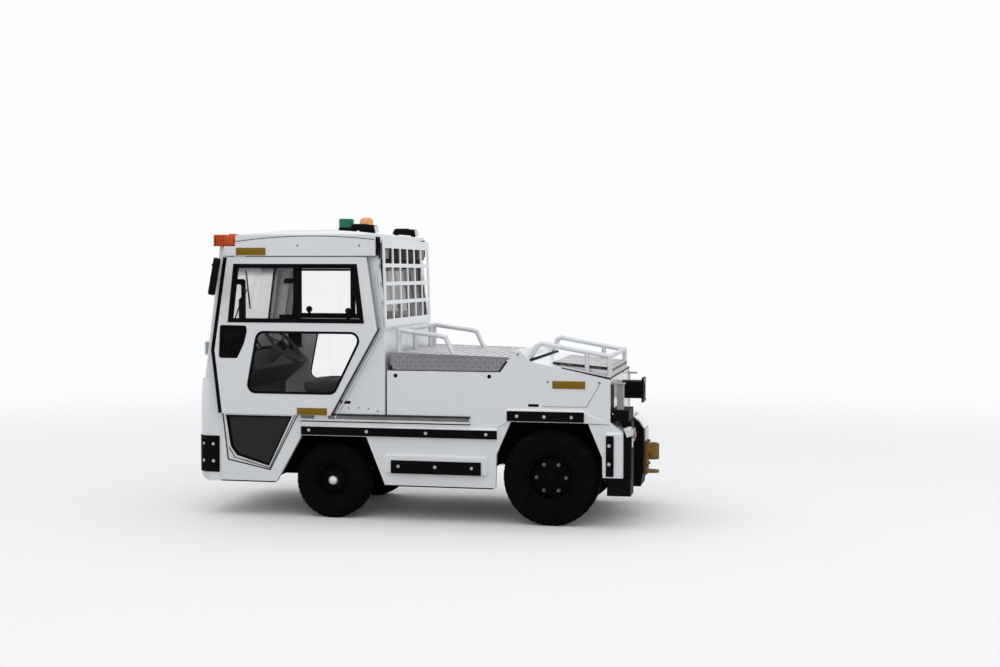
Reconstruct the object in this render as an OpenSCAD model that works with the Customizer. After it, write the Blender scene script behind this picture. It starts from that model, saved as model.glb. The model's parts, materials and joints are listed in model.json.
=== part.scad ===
// Airport baggage tug: closed cab at the front, battery deck and stepped rear deck behind it.
// Lengths in this file are measured from the rear axle, forward positive, left positive, ground at 0.
// The finished model is shifted lengthways so that its origin lies under the middle of its box.

/* [Wheels and axles] */
// Distance between the front and rear axles
wheelbase = 1574; // [1500:1:1640]
// Outer radius of a front tyre
front_tyre_r = 268; // [250:1:280]
// Outer radius of a rear tyre
rear_tyre_r = 335; // [310:1:350]
// Width of a front tyre
front_tyre_w = 160; // [140:1:165]
// Width of a rear tyre
rear_tyre_w = 185; // [160:1:195]
// Radius of the front rim at the tyre's seat
front_rim_r = 118; // [105:1:125]
// Radius of the rear rim at the tyre's seat
rear_rim_r = 158; // [145:1:165]
// Distance from the middle plane to a front tyre's outer face
front_face_y = 606; // [590:1:615]
// Distance from the middle plane to a rear tyre's outer face
rear_face_y = 622; // [605:1:630]
// Distance from the middle plane to a kingpin
kingpin_y = 428; // [415:1:435]
// Radius of an axle spindle
spindle_r = 30; // [24:1:32]
// Radius of a kingpin
kingpin_r = 18; // [14:1:20]
// Radial play of a running fit
running_play = 0.05; // [0.02:0.01:0.09]

/* [Body] */
// Distance from the middle plane to the plane of the body sides
side_y = 635; // [630:1:650]
// Thickness of a body side
side_t = 30; // [20:1:34]
// Height of the lower edges of the body above the ground
skirt_z = 252; // [235:1:280]
// Height of the rubber strip's lower edge on the sill
sill_z = 597; // [590:1:615]
// Height of the rubber strip on the sill
sill_h = 59; // [50:1:62]
// How far the sill stands out from the body side
sill_out = 16; // [10:1:18]
// Thickness of a rubber strip
rubber_t = 10; // [8:1:12]
// Height of the door rail's lower edge
rail_z = 697; // [692:1:705]
// Height of the door rail
rail_h = 53; // [40:1:56]
// Height of the battery deck at the cab
deck_z = 1188; // [1170:1:1200]
// Height of the lower edge of the battery cover's side plates
cover_skirt_z = 1066; // [1050:1:1090]
// Rear edge of the cab
cab_rear_x = 1178; // [1172:1:1184]
// Front edge of the battery compartment
bay_front_x = 1162; // [1150:1:1168]
// Rear edge of the body sides
body_rear_x = -411; // [-430:1:-405]

/* [Cab] */
// Front face of the nose
nose_x = 2578; // [2560:1:2600]
// Height of the nose cowl's top edge
cowl_z = 986; // [960:1:1010]
// Height of the lower edge of the header above the doors
header_z = 1862; // [1859:1:1875]
// Height of the roof's crown
roof_z = 2045; // [2036:1:2070]
// Radius of the roof's lengthways curve
roof_curve_r = 4150; // [3800:10:5000]
// Thickness of the roof
roof_t = 44; // [36:1:46]
// Rearward lean of the windscreen
windscreen_lean = 7.2; // [6.8:0.1:7.6]
// Thickness of a door
door_t = 26; // [20:1:30]
// Distance between a door and the body side
door_gap = 20; // [18:1:24]
// Clearance of a moving panel
panel_gap = 6; // [5:0.5:8]
// Thickness of the glass
glass_t = 6; // [4:1:8]
// Width of a window's rubber frame
window_frame_w = 32; // [24:1:40]
// Width of the seat cushion
seat_w = 460; // [400:10:500]
// Distance of the driver's seat from the middle plane
seat_y = 240; // [200:5:270]
// Radius of the steering wheel's rim
steering_wheel_r = 190; // [170:5:210]
// Radius of the steering wheel's rim section
steering_grip_r = 13; // [11:1:15]

/* [Rails and guard] */
// Radius of the guard rails' tube
tube_r = 17; // [14:1:20]
// Distance from the middle plane to the battery deck's rails
deck_rail_y = 515; // [500:1:530]
// Distance from the middle plane to the rear deck's rails
rear_rail_y = 455; // [440:1:470]
// Height of the battery deck's rails above the ground
deck_rail_z = 1342; // [1320:1:1355]
// Distance from the middle plane to the guard's ends
guard_y = 645; // [620:1:648]
// Height of the guard's upper edge
guard_top_z = 1984; // [1975:1:1990]
// Height of the guard's lower edge
guard_bottom_z = 1362; // [1350:1:1370]
// Thickness of the guard's plate
guard_t = 8; // [5:1:12]

/* [Tow hitch] */
// Radius of the tow pin's hole
tow_hole_r = 14; // [11:1:16]
// Height of the lower jaw's upper face
tow_z = 330; // [325:1:345]
// Gap between the jaws that the towbar's eye fits
tow_gap = 78; // [60:1:84]

/* [Hidden] */
$fn = 48;
fine_fn = 96;
white = [0.90, 0.91, 0.92];
black = [0.06, 0.06, 0.07];
steel = [0.70, 0.71, 0.72];

tow_rear_x = -690;
pad_out = 6;
box_mid_x = (nose_x + pad_out + tow_rear_x) / 2;
sill_y = side_y + sill_out;
door_y = side_y + door_gap;
sill_top_z = sill_z + sill_h;
// Outlines on the vehicle's side are lists of [x, z] pairs
door_top_z = header_z - 8;
door_outline = [[2328, door_top_z], [2427, 1190], [2373, 739], [1565, 739], [1222, 1345], [1298, door_top_z]];
door_opening = [[2300, header_z - 30], [2396, 1190], [2348, 738], [1588, 738], [1262, 1340],
    [1330, header_z - 30]];
upper_window = [[2280, 1806], [2326, 1390], [1315, 1390], [1367, 1806]];
upper_pane = [[2250, 1776], [2292, 1420], [1348, 1420], [1392, 1776]];
lower_window = [[2104, 1323], [1323, 1323], [1537, 893], [2186, 893]];
lower_window_r = 58;
handle_outline = [[2387, 1371], [2185, 1368], [2182, 1325], [2203, 1242], [2256, 1134], [2398, 1134]];
step_outline = [[2384, 738], [wheelbase + 248, 738], [wheelbase + 456, 340], [2343, 405]];
step_glass_outline = [[2362, 722], [wheelbase + 292, 722], [wheelbase + 466, 366], [2280, 436], [2326, 500]];
front_arch = [[wheelbase + 406, skirt_z], [wheelbase + 217, sill_z - 6], [wheelbase - 259, sill_z - 6],
    [wheelbase - 397, skirt_z]];
rear_arch = [[384, skirt_z], [378, 490], [376, 615], [274, 730], [-256, 727], [-357, 489], [-361, 350]];
// Joint between the cab's side and the body's side
side_joint_x = wheelbase + 226;

// Shapes shared by several pieces

function toward(from, to) = (to - from) / norm(to - from);

// Tangent points and centre of a round corner of radius r at b
function round_corner(a, b, c, r) =
    let (u = toward(b, a), v = toward(b, c), half = acos(u * v) / 2, d = r / tan(half))
    [b + u * d, b + v * d, b + toward([0, 0], u + v) * r / sin(half)];

// Convex outline whose corners are round
module rounded_outline(points, r) {
    n = len(points);
    corners = [for (i = [0:n - 1]) round_corner(points[(i + n - 1) % n], points[i], points[(i + 1) % n], r)];
    polygon([for (c = corners) for (k = [0, 1]) c[k]]);
    for (c = corners) translate(c[2]) circle(r = r);
}

module rounded_box_outline(w, h, r) {
    rounded_outline([[-w / 2, -h / 2], [w / 2, -h / 2], [w / 2, h / 2], [-w / 2, h / 2]], r);
}

function sum(points, i = 0) = i < len(points) ? points[i] + sum(points, i + 1) : [0, 0];

// The same outline, drawn in a little towards its middle
function shrunk(points, k = 0.999) = let (c = sum(points) / len(points)) [for (p = points) c + (p - c) * k];

// Height of the roof's upper surface
roof_mid_x = 1700;
function roof_top(x) = roof_z - roof_curve_r + sqrt(pow(roof_curve_r, 2) - pow(x - roof_mid_x, 2));

// Extrudes an [x, z] outline sideways, from inner_y outwards
module side_slab(inner_y, t) {
    translate([0, inner_y + t, 0]) rotate([90, 0, 0]) linear_extrude(t) children();
}

// Extrudes an [x, z] outline across the vehicle, half_w to each side
module across(half_w) {
    translate([0, half_w, 0]) rotate([90, 0, 0]) linear_extrude(2 * half_w) children();
}

// Extrudes a [y, z] outline lengthways from rear_x, forwards
module lengthways(rear_x, l) {
    translate([rear_x, 0, 0]) rotate([90, 0, 90]) linear_extrude(l) children();
}

module both_sides() {
    children();
    mirror([0, 1, 0]) children();
}

module block(low, high) {
    translate(low) cube(high - low);
}

// Places a piece drawn from the rear axle in the model's frame
module placed() {
    translate([-box_mid_x, 0, 0]) children();
}

// Round tube along straight stretches, with a ball at each bend
ball_over = 0.5;

module tube_path(points, r) {
    for (i = [0:len(points) - 2]) {
        a = points[i];
        b = points[i + 1];
        d = b - a;
        translate(a) rotate([0, acos(d[2] / norm(d)), atan2(d[1], d[0])]) cylinder(r = r, h = norm(d));
    }
    for (i = [1:len(points) - 2]) translate(points[i]) sphere(r = r + ball_over);
}

// Running gear

frame_rail_y = 235;
frame_rail_w = 50;
frame_z = 400;
frame_h = 100;
front_axle_z = front_tyre_r;
rear_axle_z = rear_tyre_r;
spindle_end = 12;
beam_h = 56;
yoke_r = 32;
yoke_half_h = 68;
boss_half_h = 40;

rail_rear_x = -400;
rail_front_x = 2392;
spring_half_l = 300;
// Front end of the frame's high part, ahead of the front springs
drop_x = wheelbase + spring_half_l + 6;

module chassis_frame() color(black) placed() {
    // rails, dropped below the step well in front of the front axle
    low_z = 262;
    low_h = 68;
    both_sides() side_slab(frame_rail_y - frame_rail_w / 2, frame_rail_w)
        polygon([[rail_rear_x, frame_z], [rail_rear_x, frame_z + frame_h], [drop_x + 15, frame_z + frame_h],
            [drop_x + 95, low_z + low_h], [rail_front_x, low_z + low_h], [rail_front_x, low_z],
            [drop_x + 25, low_z], [drop_x, frame_z]]);
    cross_l = 60;
    for (x = [rail_rear_x, 420, 1095])
        block([x, -frame_rail_y, frame_z + 10], [x + cross_l, frame_rail_y, frame_z + frame_h - 10]);
    // outriggers that carry the body sides and the step wells
    for (x = [420, 1095]) block([x, -side_y + side_t, frame_z + 20],
        [x + cross_l, side_y - side_t, frame_z + frame_h - 20]);
    for (x = [drop_x + 130, rail_front_x - cross_l])
        block([x, -side_y + side_t, low_z + 13], [x + cross_l, side_y - side_t, low_z + low_h - 2]);
}

module rim_profile(seat_r, w, hub_r) {
    wall = 6;
    disc_t = 10;
    flange_r = seat_r + 14;
    out = w / 2 - 22;
    hub_out = out - 6;
    polygon([
        [spindle_r + running_play, hub_out], [spindle_r + running_play, hub_out - 70],
        [hub_r, hub_out - 70], [hub_r, hub_out - 30],
        [seat_r - 30, hub_out - 30 - disc_t], [seat_r - wall, hub_out - 30 - disc_t - 14],
        [seat_r - wall, -out], [flange_r - 4, -out - 6], [flange_r, -out - 2], [seat_r, -out + 8],
        [seat_r, out - 8], [flange_r, out + 2], [flange_r - 4, out + 6], [seat_r - wall, out],
        [seat_r - wall, hub_out - 30], [hub_r + 22, hub_out - 14], [hub_r, hub_out]]);
}

module tyre_profile(r, w, seat_r) {
    side = r - seat_r;
    gap = 0.3;
    out = w / 2 - 22;
    half = [[seat_r + gap, out - 8.6], [seat_r + 14, out + 1.4], [seat_r + 19, out + 10],
        [seat_r + side * 0.52, w / 2], [seat_r + side * 0.78, w * 0.485], [r - 10, w * 0.43], [r, w * 0.36]];
    n = len(half) - 1;
    polygon(concat([for (i = [0:n]) [half[i][0], -half[i][1]]], [for (i = [n:-1:0]) half[i]]));
}

// Puts a wheel drawn about Z, outer side up, at an axle's end
module at_wheel(x, y, z, side) {
    placed() translate([x, side * y, z]) rotate([-90 * side, 0, 0]) children();
}

front_wheel_y = front_face_y - front_tyre_w / 2;
rear_wheel_y = rear_face_y - rear_tyre_w / 2;

module front_tyre(side) color(black) at_wheel(wheelbase, front_wheel_y, front_axle_z, side)
    rotate_extrude($fn = fine_fn) tyre_profile(front_tyre_r, front_tyre_w, front_rim_r);

module rear_tyre(side) color(black) at_wheel(0, rear_wheel_y, rear_axle_z, side)
    rotate_extrude($fn = fine_fn) tyre_profile(rear_tyre_r, rear_tyre_w, rear_rim_r);

module front_rim(side) color([0.1, 0.1, 0.11]) at_wheel(wheelbase, front_wheel_y, front_axle_z, side)
    rotate_extrude($fn = fine_fn) rim_profile(front_rim_r, front_tyre_w, 52);

module rear_rim(side) color([0.1, 0.1, 0.11]) at_wheel(0, rear_wheel_y, rear_axle_z, side)
    rotate_extrude($fn = fine_fn) rim_profile(rear_rim_r, rear_tyre_w, 76);

module front_axle() color(black) placed() difference() {
    union() {
        block([wheelbase - 36, -kingpin_y, front_axle_z - beam_h / 2],
            [wheelbase + 36, kingpin_y, front_axle_z + beam_h / 2]);
        both_sides() translate([wheelbase, kingpin_y, front_axle_z - boss_half_h])
            cylinder(r = yoke_r, h = 2 * boss_half_h);
        // leaf springs under the frame rails, with hangers at their ends
        leaf_t = 11;
        leaf_step = 55;
        hanger_half_l = 25;
        spring_low_z = front_axle_z + beam_h / 2;
        both_sides() for (leaf = [0:3]) {
            half_l = spring_half_l - leaf_step * leaf;
            low = spring_low_z + leaf_t * (3 - leaf);
            block([wheelbase - half_l, frame_rail_y - 26, low], [wheelbase + half_l, frame_rail_y + 26, low + leaf_t]);
        }
        both_sides() for (end = [-1, 1]) translate([wheelbase + end * (spring_half_l - hanger_half_l), 0, 0])
            block([-hanger_half_l, frame_rail_y - 20, front_axle_z + 50],
                [hanger_half_l, frame_rail_y + 20, frame_z]);
    }
    both_sides() translate([wheelbase, kingpin_y, front_axle_z - boss_half_h - 1])
        cylinder(r = kingpin_r + running_play, h = 2 * boss_half_h + 2);
}

module knuckle(side) color(black) placed() translate([wheelbase, side * kingpin_y, front_axle_z])
    mirror([0, side < 0 ? 1 : 0, 0]) {
    play = 0.5;
    cylinder(r = kingpin_r, h = 2 * yoke_half_h, center = true);
    for (end = [0, 1]) mirror([0, 0, end]) translate([0, 0, boss_half_h + play]) {
        cylinder(r = yoke_r, h = yoke_half_h - boss_half_h - play);
        translate([-yoke_r, 0, 0]) cube([2 * yoke_r, yoke_r + 22, yoke_half_h - boss_half_h - play]);
    }
    translate([-yoke_r, yoke_r + 6, -yoke_half_h]) cube([2 * yoke_r, 16, 2 * yoke_half_h]);
    spindle_l = front_wheel_y - kingpin_y + front_tyre_w / 2 - 22 - 6 - spindle_end;
    translate([0, yoke_r + 20, 0]) rotate([-90, 0, 0]) cylinder(r = spindle_r, h = spindle_l - yoke_r - 20);
}

module rear_axle() color(black) placed() {
    tube_len = rear_wheel_y - 30;
    spindle_len = rear_wheel_y + rear_tyre_w / 2 - 22 - 6 - spindle_end;
    translate([0, 0, rear_axle_z]) rotate([90, 0, 0]) {
        cylinder(r = spindle_r, h = 2 * spindle_len, center = true);
        cylinder(r = 58, h = 2 * tube_len, center = true);
        rotate_extrude($fn = fine_fn) polygon([[0, -150], [90, -150], [135, -90], [150, -30],
            [150, 30], [135, 90], [90, 150], [0, 150]]);
    }
    // leaf springs slung under the axle, with hangers up to the frame rails
    spring_z = rear_axle_z - 56;
    both_sides() for (leaf = [0:3]) block([-330 + 60 * leaf, frame_rail_y - 30, spring_z - 12 * (leaf + 1)],
        [330 - 60 * leaf, frame_rail_y + 30, spring_z - 12 * leaf]);
    both_sides() for (end = [-1, 1]) block([end * 310 - 20, frame_rail_y - 20, spring_z - 6],
        [end * 310 + 20, frame_rail_y + 20, frame_z]);
}

module drive_motor() color([0.25, 0.26, 0.28]) placed()
    block([155, -150, frame_z - 60], [415, 150, 640]);

module battery() color([0.2, 0.22, 0.25]) placed()
    block([485, -530, frame_z + frame_h], [1075, 530, 1010]);

// Cab

// Front face of the cab, leaning back from the cowl
function screen_x(z) = 2530 - (z - 1000) * tan(windscreen_lean);

cab_side_front_x = 2400;

// The roof's front corners are cut out for the indicators
indicator_x = 2266;
indicator_z = 1930;
indicator_y = 560;

// Everything below the roof's underside
module roof_underside() translate([roof_mid_x, 0, roof_z - roof_curve_r]) rotate([90, 0, 0])
    cylinder(r = roof_curve_r - roof_t, h = 2 * side_y + 200, center = true, $fn = 720);

module cab_side_outline() difference() {
    polygon([[cab_side_front_x, skirt_z], [front_arch[0][0], skirt_z], [side_joint_x, 573], [side_joint_x, 745],
        [cab_rear_x, 745], [cab_rear_x, 1345], [1234, header_z], [1234, roof_z], [indicator_x, roof_z],
        [indicator_x, indicator_z], [screen_x(indicator_z) - 20, indicator_z],
        [screen_x(cowl_z) - 20, cowl_z], [cab_side_front_x, cowl_z]]);
    polygon(door_opening);
    polygon(step_outline);
}

module cab_sides() color(white) placed() both_sides() intersection() {
    roof_underside();
    union() {
        side_slab(side_y - side_t, side_t) cab_side_outline();
        // header box with the slot for the door's upper runner
        difference() {
            side_slab(side_y, door_gap + door_t + 8)
                polygon([[2356, header_z], [1234, header_z], [1234, roof_z], [indicator_x, roof_z],
                    [indicator_x, indicator_z], [2348, indicator_z]]);
            block([1250, door_y + 2, header_z - 1], [2340, door_y + 24, header_z + 36]);
        }
    }
}

module rear_window_outline(clear = 0) translate([0, (1400 + header_z - 30) / 2])
    rounded_box_outline(1120 - clear, header_z - 30 - 1400 - clear, 40);

module windscreen_outline(clear = 0) translate([0, 1595]) rounded_box_outline(1130 - clear, 500 - clear, 50);

module cab_rear_wall() color(white) placed() intersection() {
    roof_underside();
    difference() {
        across(side_y - side_t) polygon([[cab_rear_x, 634], [cab_rear_x + 30, 634],
            [cab_rear_x + 30, 1345], [1264, header_z], [1264, roof_z], [1234, roof_z],
            [1234, header_z], [cab_rear_x, 1345]]);
        lengthways(cab_rear_x - 20, 140) rear_window_outline();
    }
}

module cab_front() color(white) placed() intersection() {
    roof_underside();
    difference() {
        low = cowl_z - 30;
        across(side_y - side_t) polygon([[screen_x(low) - 30, low], [screen_x(low), low], [screen_x(roof_z), roof_z],
            [screen_x(roof_z) - 30, roof_z]]);
        lengthways(screen_x(1900) - 80, 260) windscreen_outline();
        both_sides() block([indicator_x, indicator_y, indicator_z], [nose_x, side_y, roof_z]);
    }
}

nose_corner_r = 90;

module nose_plan(inset) {
    r = nose_corner_r - inset;
    x = nose_x - nose_corner_r;
    y = side_y - nose_corner_r;
    polygon([[cab_side_front_x - 10, -y - r], [x, -y - r], [x + r, -y], [x + r, y], [x, y + r],
        [cab_side_front_x - 10, y + r]]);
    for (side = [-1, 1]) translate([x, side * y]) circle(r = r, $fn = fine_fn);
}

module nose_shape(inset) intersection() {
    across(side_y) polygon([[cab_side_front_x - 5, cowl_z - inset], [nose_x - 32 - inset, cowl_z - inset],
        [nose_x - inset, 740], [nose_x - inset, 310], [nose_x - 30 - inset, 272 + inset],
        [nose_x - 86 - inset, skirt_z - 6 + inset], [cab_side_front_x - 5, skirt_z - 6 + inset]]);
    translate([0, 0, 200]) linear_extrude(900) nose_plan(inset);
}

module nose_cowl() color(white) placed() difference() {
    nose_shape(0);
    nose_shape(28);
    block([cab_side_front_x - 20, -side_y - 1, 200], [cab_side_front_x, side_y + 1, 1100]);
    // the cab front's panel comes down inside the cowl's top
    low = cowl_z - 32;
    across(side_y - side_t + 2) polygon([[cab_side_front_x - 40, low], [screen_x(low) + 1, low],
        [screen_x(cowl_z + 10) + 1, cowl_z + 10], [cab_side_front_x - 40, cowl_z + 10]]);
}

roof_half_w = door_y + door_t;

module roof() color(white) placed() difference() {
    intersection() {
        translate([roof_mid_x, 0, roof_z - roof_curve_r]) rotate([90, 0, 0]) difference() {
            cylinder(r = roof_curve_r, h = 2 * roof_half_w, center = true, $fn = 720);
            cylinder(r = roof_curve_r - roof_t, h = 2 * roof_half_w + 2, center = true, $fn = 720);
        }
        lengthways(1150, 1300) translate([0, 1970]) rounded_box_outline(2 * roof_half_w, 150, 40);
        across(roof_half_w + 1) polygon([[1234, 1850], [1234, 2010], [1250, 2100], [2300, 2100],
            [screen_x(1925), 1925], [screen_x(1850), 1850]]);
    }
    both_sides() block([indicator_x, indicator_y, indicator_z - 30], [nose_x, roof_half_w + 1, roof_z + 1]);
}

module cab_glass() color([0.3, 0.38, 0.42, 0.5]) placed() {
    // windscreen
    intersection() {
        across(side_y - side_t) polygon([[screen_x(1000) - 18, 1000], [screen_x(1000) - 18 + glass_t, 1000],
            [screen_x(1930) - 18 + glass_t, 1930], [screen_x(1930) - 18, 1930]]);
        lengthways(screen_x(1900) - 80, 260) windscreen_outline(0.6);
    }
    // rear window
    intersection() {
        across(side_y) polygon([[cab_rear_x + 12, 1345], [cab_rear_x + 12 + glass_t, 1345],
            [1246 + glass_t, header_z], [1246, header_z]]);
        lengthways(cab_rear_x - 20, 140) rear_window_outline(0.6);
    }
    // panes beside the step wells
    both_sides() side_slab(side_y - 20, glass_t) polygon(step_glass_outline);
}

module step_window_frames() color(steel) placed() both_sides() difference() {
    side_slab(side_y - 26, 24) polygon(step_outline);
    side_slab(side_y - 40, 60) polygon(step_glass_outline);
}

floor_z = 620;
well_z = 340;

// Front well, riser over the wheels and the seat platform
module cab_floor() color([0.2, 0.2, 0.21]) placed() {
    t = 12;
    riser = [wheelbase + 276, wheelbase + 416];
    across(side_y - side_t) polygon([[2396, well_z], [riser[1], well_z], [riser[0], floor_z],
        [cab_rear_x, floor_z], [cab_rear_x, floor_z + t], [riser[0] + 8, floor_z + t],
        [riser[1] + 8, well_z + t], [2396, well_z + t]]);
}

// Body behind the cab

hump = [[278, 1166], [252, 1210], [214, 1216], [150, 1140]];
hood_rear = [-397, 1022];

// Height of the rear hood's sloping plate
hood_slope = (hump[3][1] - hood_rear[1]) / (hump[3][0] - hood_rear[0]);
function hood_top(x) = hood_rear[1] + hood_slope * (x - hood_rear[0]);
hood_front = [200, hood_top(200)];
fender_x = -500;

module body_side_outline() polygon(concat(
    [[bay_front_x, cover_skirt_z - 6], [bay_front_x, 745], [side_joint_x, 745], [side_joint_x, sill_z - 6],
        front_arch[2], front_arch[3]],
    rear_arch,
    [[fender_x, 350], [fender_x, 660], [body_rear_x, 728], [body_rear_x, 985], hood_rear,
        hump[3], hump[2], hump[1], hump[0], [353, cover_skirt_z - 6]]));

// Bar that stands out from the side, bevelled along its upper edge
module raised_bar(x0, x1, z0, z1, bevel) {
    lengthways(x0, x1 - x0) polygon([[side_y, z0], [sill_y, z0], [sill_y, z1], [side_y, z1 + bevel]]);
}

fender_in_y = 450;
fender_t = 12;

module side_bodies() color(white) placed() both_sides() {
    side_slab(side_y - side_t, side_t) body_side_outline();
    raised_bar(371, side_joint_x, sill_z - 5, sill_top_z + 4, 12);
    raised_bar(-234, 302, 722, 800, 12);
    raised_bar(439, front_arch[3][0], 346, 464, 12);
    raised_bar(-490, -385, 352, 650, 12);
    // box behind the rear wheel: sloping top and rear face
    side_slab(fender_in_y, side_y - side_t - fender_in_y) polygon([[fender_x, 350], [fender_x, 660],
        [body_rear_x, 728], [body_rear_x, 728 - fender_t], [fender_x + fender_t, 660 - fender_t],
        [fender_x + fender_t, 350]]);
}

liner_t = 6;
liner_in_y = 400;
liner_front_y = frame_rail_y + frame_rail_w / 2 + 2;

// Outline of a sheet around an arch, between two outlines of the same number of points
module arch_sheet(inside, outside) {
    n = len(inside) - 1;
    polygon(concat(inside, [for (i = [n:-1:0]) outside[i]]));
}

// Black sheets behind the wheels
module wheel_liners() color(black) placed() both_sides() {
    body_y = side_y - side_t;
    rear = [[386, frame_z], [384, 618], [278, 740], [-260, 740], [-366, 490], [-372, frame_z]];
    rear_out = [[392, frame_z], [390, 620], [281, 746], [-264, 746], [-372, 491], [-378, frame_z]];
    side_slab(liner_in_y, body_y - liner_in_y) arch_sheet(rear, rear_out);
    side_slab(liner_in_y, liner_t) polygon(rear);
    front = [for (p = [[-363, 345], [-262, 597], [220, 597], [361, 345]]) [wheelbase + p[0], p[1]]];
    front_out = [for (p = [[-370, 345], [-266, 603], [223, 603], [368, 345]]) [wheelbase + p[0], p[1]]];
    side_slab(liner_front_y, body_y - liner_front_y) arch_sheet(front, front_out);
    side_slab(liner_front_y, liner_t) polygon(front);
}

module rubber_strip(x0, x1, z0, z1) {
    side_slab(sill_y, rubber_t) polygon([[x0, z0], [x1, z0], [x1, z1], [x0, z1]]);
}

module rubber_strips() color(black) placed() both_sides() {
    rubber_strip(371, side_joint_x - 11, sill_z, sill_top_z);
    rubber_strip(-234, 302, 727, 796);
    rubber_strip(484, front_arch[3][0] - 48, 355, 433);
    rubber_strip(-438, -385, 362, 640);
    // corner pads that wrap the nose
    intersection() {
        translate([0, 0, 310]) linear_extrude(262) difference() {
            nose_plan(-pad_out);
            nose_plan(-0.3);
        }
        block([2410, 460, 300], [2700, 800, 600]);
    }
}

rail_depth = door_gap - panel_gap;
rail_lip = 14;

module door_rails() color(steel) placed() both_sides() difference() {
    side_slab(side_y, rail_depth)
        polygon([[563, rail_z], [side_joint_x, rail_z], [side_joint_x, rail_z + rail_h], [563, rail_z + rail_h]]);
    side_slab(side_y + 3, rail_depth) polygon([[570, rail_z + rail_lip], [side_joint_x - 7, rail_z + rail_lip],
        [side_joint_x - 7, rail_z + rail_h - rail_lip], [570, rail_z + rail_h - rail_lip]]);
}

cover_hinge_x = 290;
cover_hinge_z = hump[0][1];
cover_front_x = 1140;
deck_rail_x = 1107;

// Height of the battery deck's plate
deck_slope = (deck_z - cover_hinge_z) / (cover_front_x - cover_hinge_x);
function deck_top(x) = cover_hinge_z - 5 + deck_slope * (x - cover_hinge_x);

module battery_cover() color(steel) placed() {
    top_t = 17;
    across(side_y - side_t) polygon([[cover_hinge_x, deck_top(cover_hinge_x) - top_t],
        [cover_front_x, deck_top(cover_front_x) - top_t], [cover_front_x, deck_top(cover_front_x)],
        [cover_hinge_x, deck_top(cover_hinge_x)]]);
    // side plates
    both_sides() side_slab(side_y - side_t, side_t) polygon([[cover_hinge_x + 6, cover_hinge_z],
        [cover_front_x, deck_z], [cover_front_x, cover_skirt_z], [366, cover_skirt_z]]);
    // hinge barrels
    for (y = [-500, -40, 420]) translate([cover_hinge_x, y, cover_hinge_z]) rotate([-90, 0, 0])
        cylinder(r = 7, h = 80);
    pitch = 60;
    rib_w = 18;
    rib_y = deck_rail_y - tube_r - 8;
    count = floor((deck_rail_x - tube_r - rib_w - 30 - cover_hinge_x) / pitch);
    for (i = [0:count]) {
        x = cover_hinge_x + 30 + i * pitch;
        block([x, -rib_y, deck_top(x) - 1], [x + rib_w, rib_y, deck_top(x) + 6]);
    }
}

module rear_hood() color(white) placed() {
    t = 20;
    half = side_y - side_t;
    across(half) polygon([hump[0], hump[1], [228, 1214], hood_front, hood_rear, hood_rear - [0, t],
        hood_front - [0, t + 4], hump[0] - [34, t + 4]]);
    // bulkhead below the hump, above the wheel liners
    block([240, -half, 750], [262, half, hump[0][1] - 30]);
    // rear panel
    block([body_rear_x + 10, -half, 660], [body_rear_x + 24, half, hood_rear[1] - t]);
}

outer_tier_t = 8;
inner_tier_y = rear_rail_y - tube_r - 6;

module rear_deck_plates() color(steel) placed() translate([0, 0, 0.2]) {
    // thin outer plate on the slope
    across(side_y - side_t + 8) polygon([[-70, hood_top(-70)], [-404, hood_top(-404)],
        [-404, hood_top(-404) + outer_tier_t + 6], [-70, hood_top(-70) + outer_tier_t]]);
    // raised inner platform
    across(inner_tier_y) polygon([[20, hood_top(20)], [-404, hood_top(-404)], [-404, 1088], [-398, 1093], [16, 1128],
        [20, 1124]]);
}

module deck_rails() color(steel) placed() intersection() {
    z = deck_rail_z;
    union() {
        both_sides() tube_path([[703, deck_rail_y, deck_z - 40], [770, deck_rail_y, z - 50], [800, deck_rail_y, z - 42],
            [deck_rail_x, deck_rail_y, z], [deck_rail_x, deck_rail_y, deck_z - 40]], tube_r);
        translate([deck_rail_x, 0, z]) rotate([90, 0, 0]) cylinder(r = tube_r, h = 2 * deck_rail_y, center = true);
        for (y = [-389, 66]) translate([deck_rail_x, y, deck_z - 40]) cylinder(r = tube_r, h = z - deck_z + 40);
    }
    across(deck_rail_y + 50) polygon([[600, deck_top(600) + 0.2], [1150, deck_top(1150) + 0.2], [1150, 1500],
        [600, 1500]]);
}

module rear_rails() color(steel) placed() intersection() {
    z0 = 1254;
    z1 = 1170;
    union() {
        both_sides() tube_path([[176, rear_rail_y, 1080], [176, rear_rail_y, 1142], [122, rear_rail_y, z0 - 12],
            [95, rear_rail_y, z0], [-384, rear_rail_y, z1], [-384, rear_rail_y, 980]], tube_r);
        translate([-384, 0, z1]) rotate([90, 0, 0]) cylinder(r = tube_r, h = 2 * rear_rail_y, center = true);
        both_sides() translate([-226, rear_rail_y, 1000]) cylinder(r = tube_r, h = 197);
    }
    across(rear_rail_y + 50) polygon([[195, hood_top(195) + 0.2], [-69, hood_top(-69) + 0.2],
        [-69, hood_top(-69) + outer_tier_t + 0.6], [-404, hood_top(-404) + outer_tier_t + 6.6], [-404, 1400],
        [195, 1400]]);
}

// Guard behind the cab, drawn upright from its lower edge: a band on top, four rows of slots, a flange.
// Each row gives the distance of its top below the guard's top, and its height
guard_rows = [[65, 108], [201, 101], [330, 104], [462, 104]];
guard_h = guard_top_z - guard_bottom_z;
guard_lean = 1.8;
guard_edge = 45;
guard_bar = 30;
corner_hole_w = 190;

module guard_slots(row, count, from_y, to_y) {
    w = (to_y - from_y - (count - 1) * guard_bar) / count;
    top = guard_h - guard_rows[row][0];
    for (i = [0:count - 1]) block([-10, from_y + i * (w + guard_bar), top - guard_rows[row][1]],
        [guard_t + 10, from_y + i * (w + guard_bar) + w, top]);
}

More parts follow.
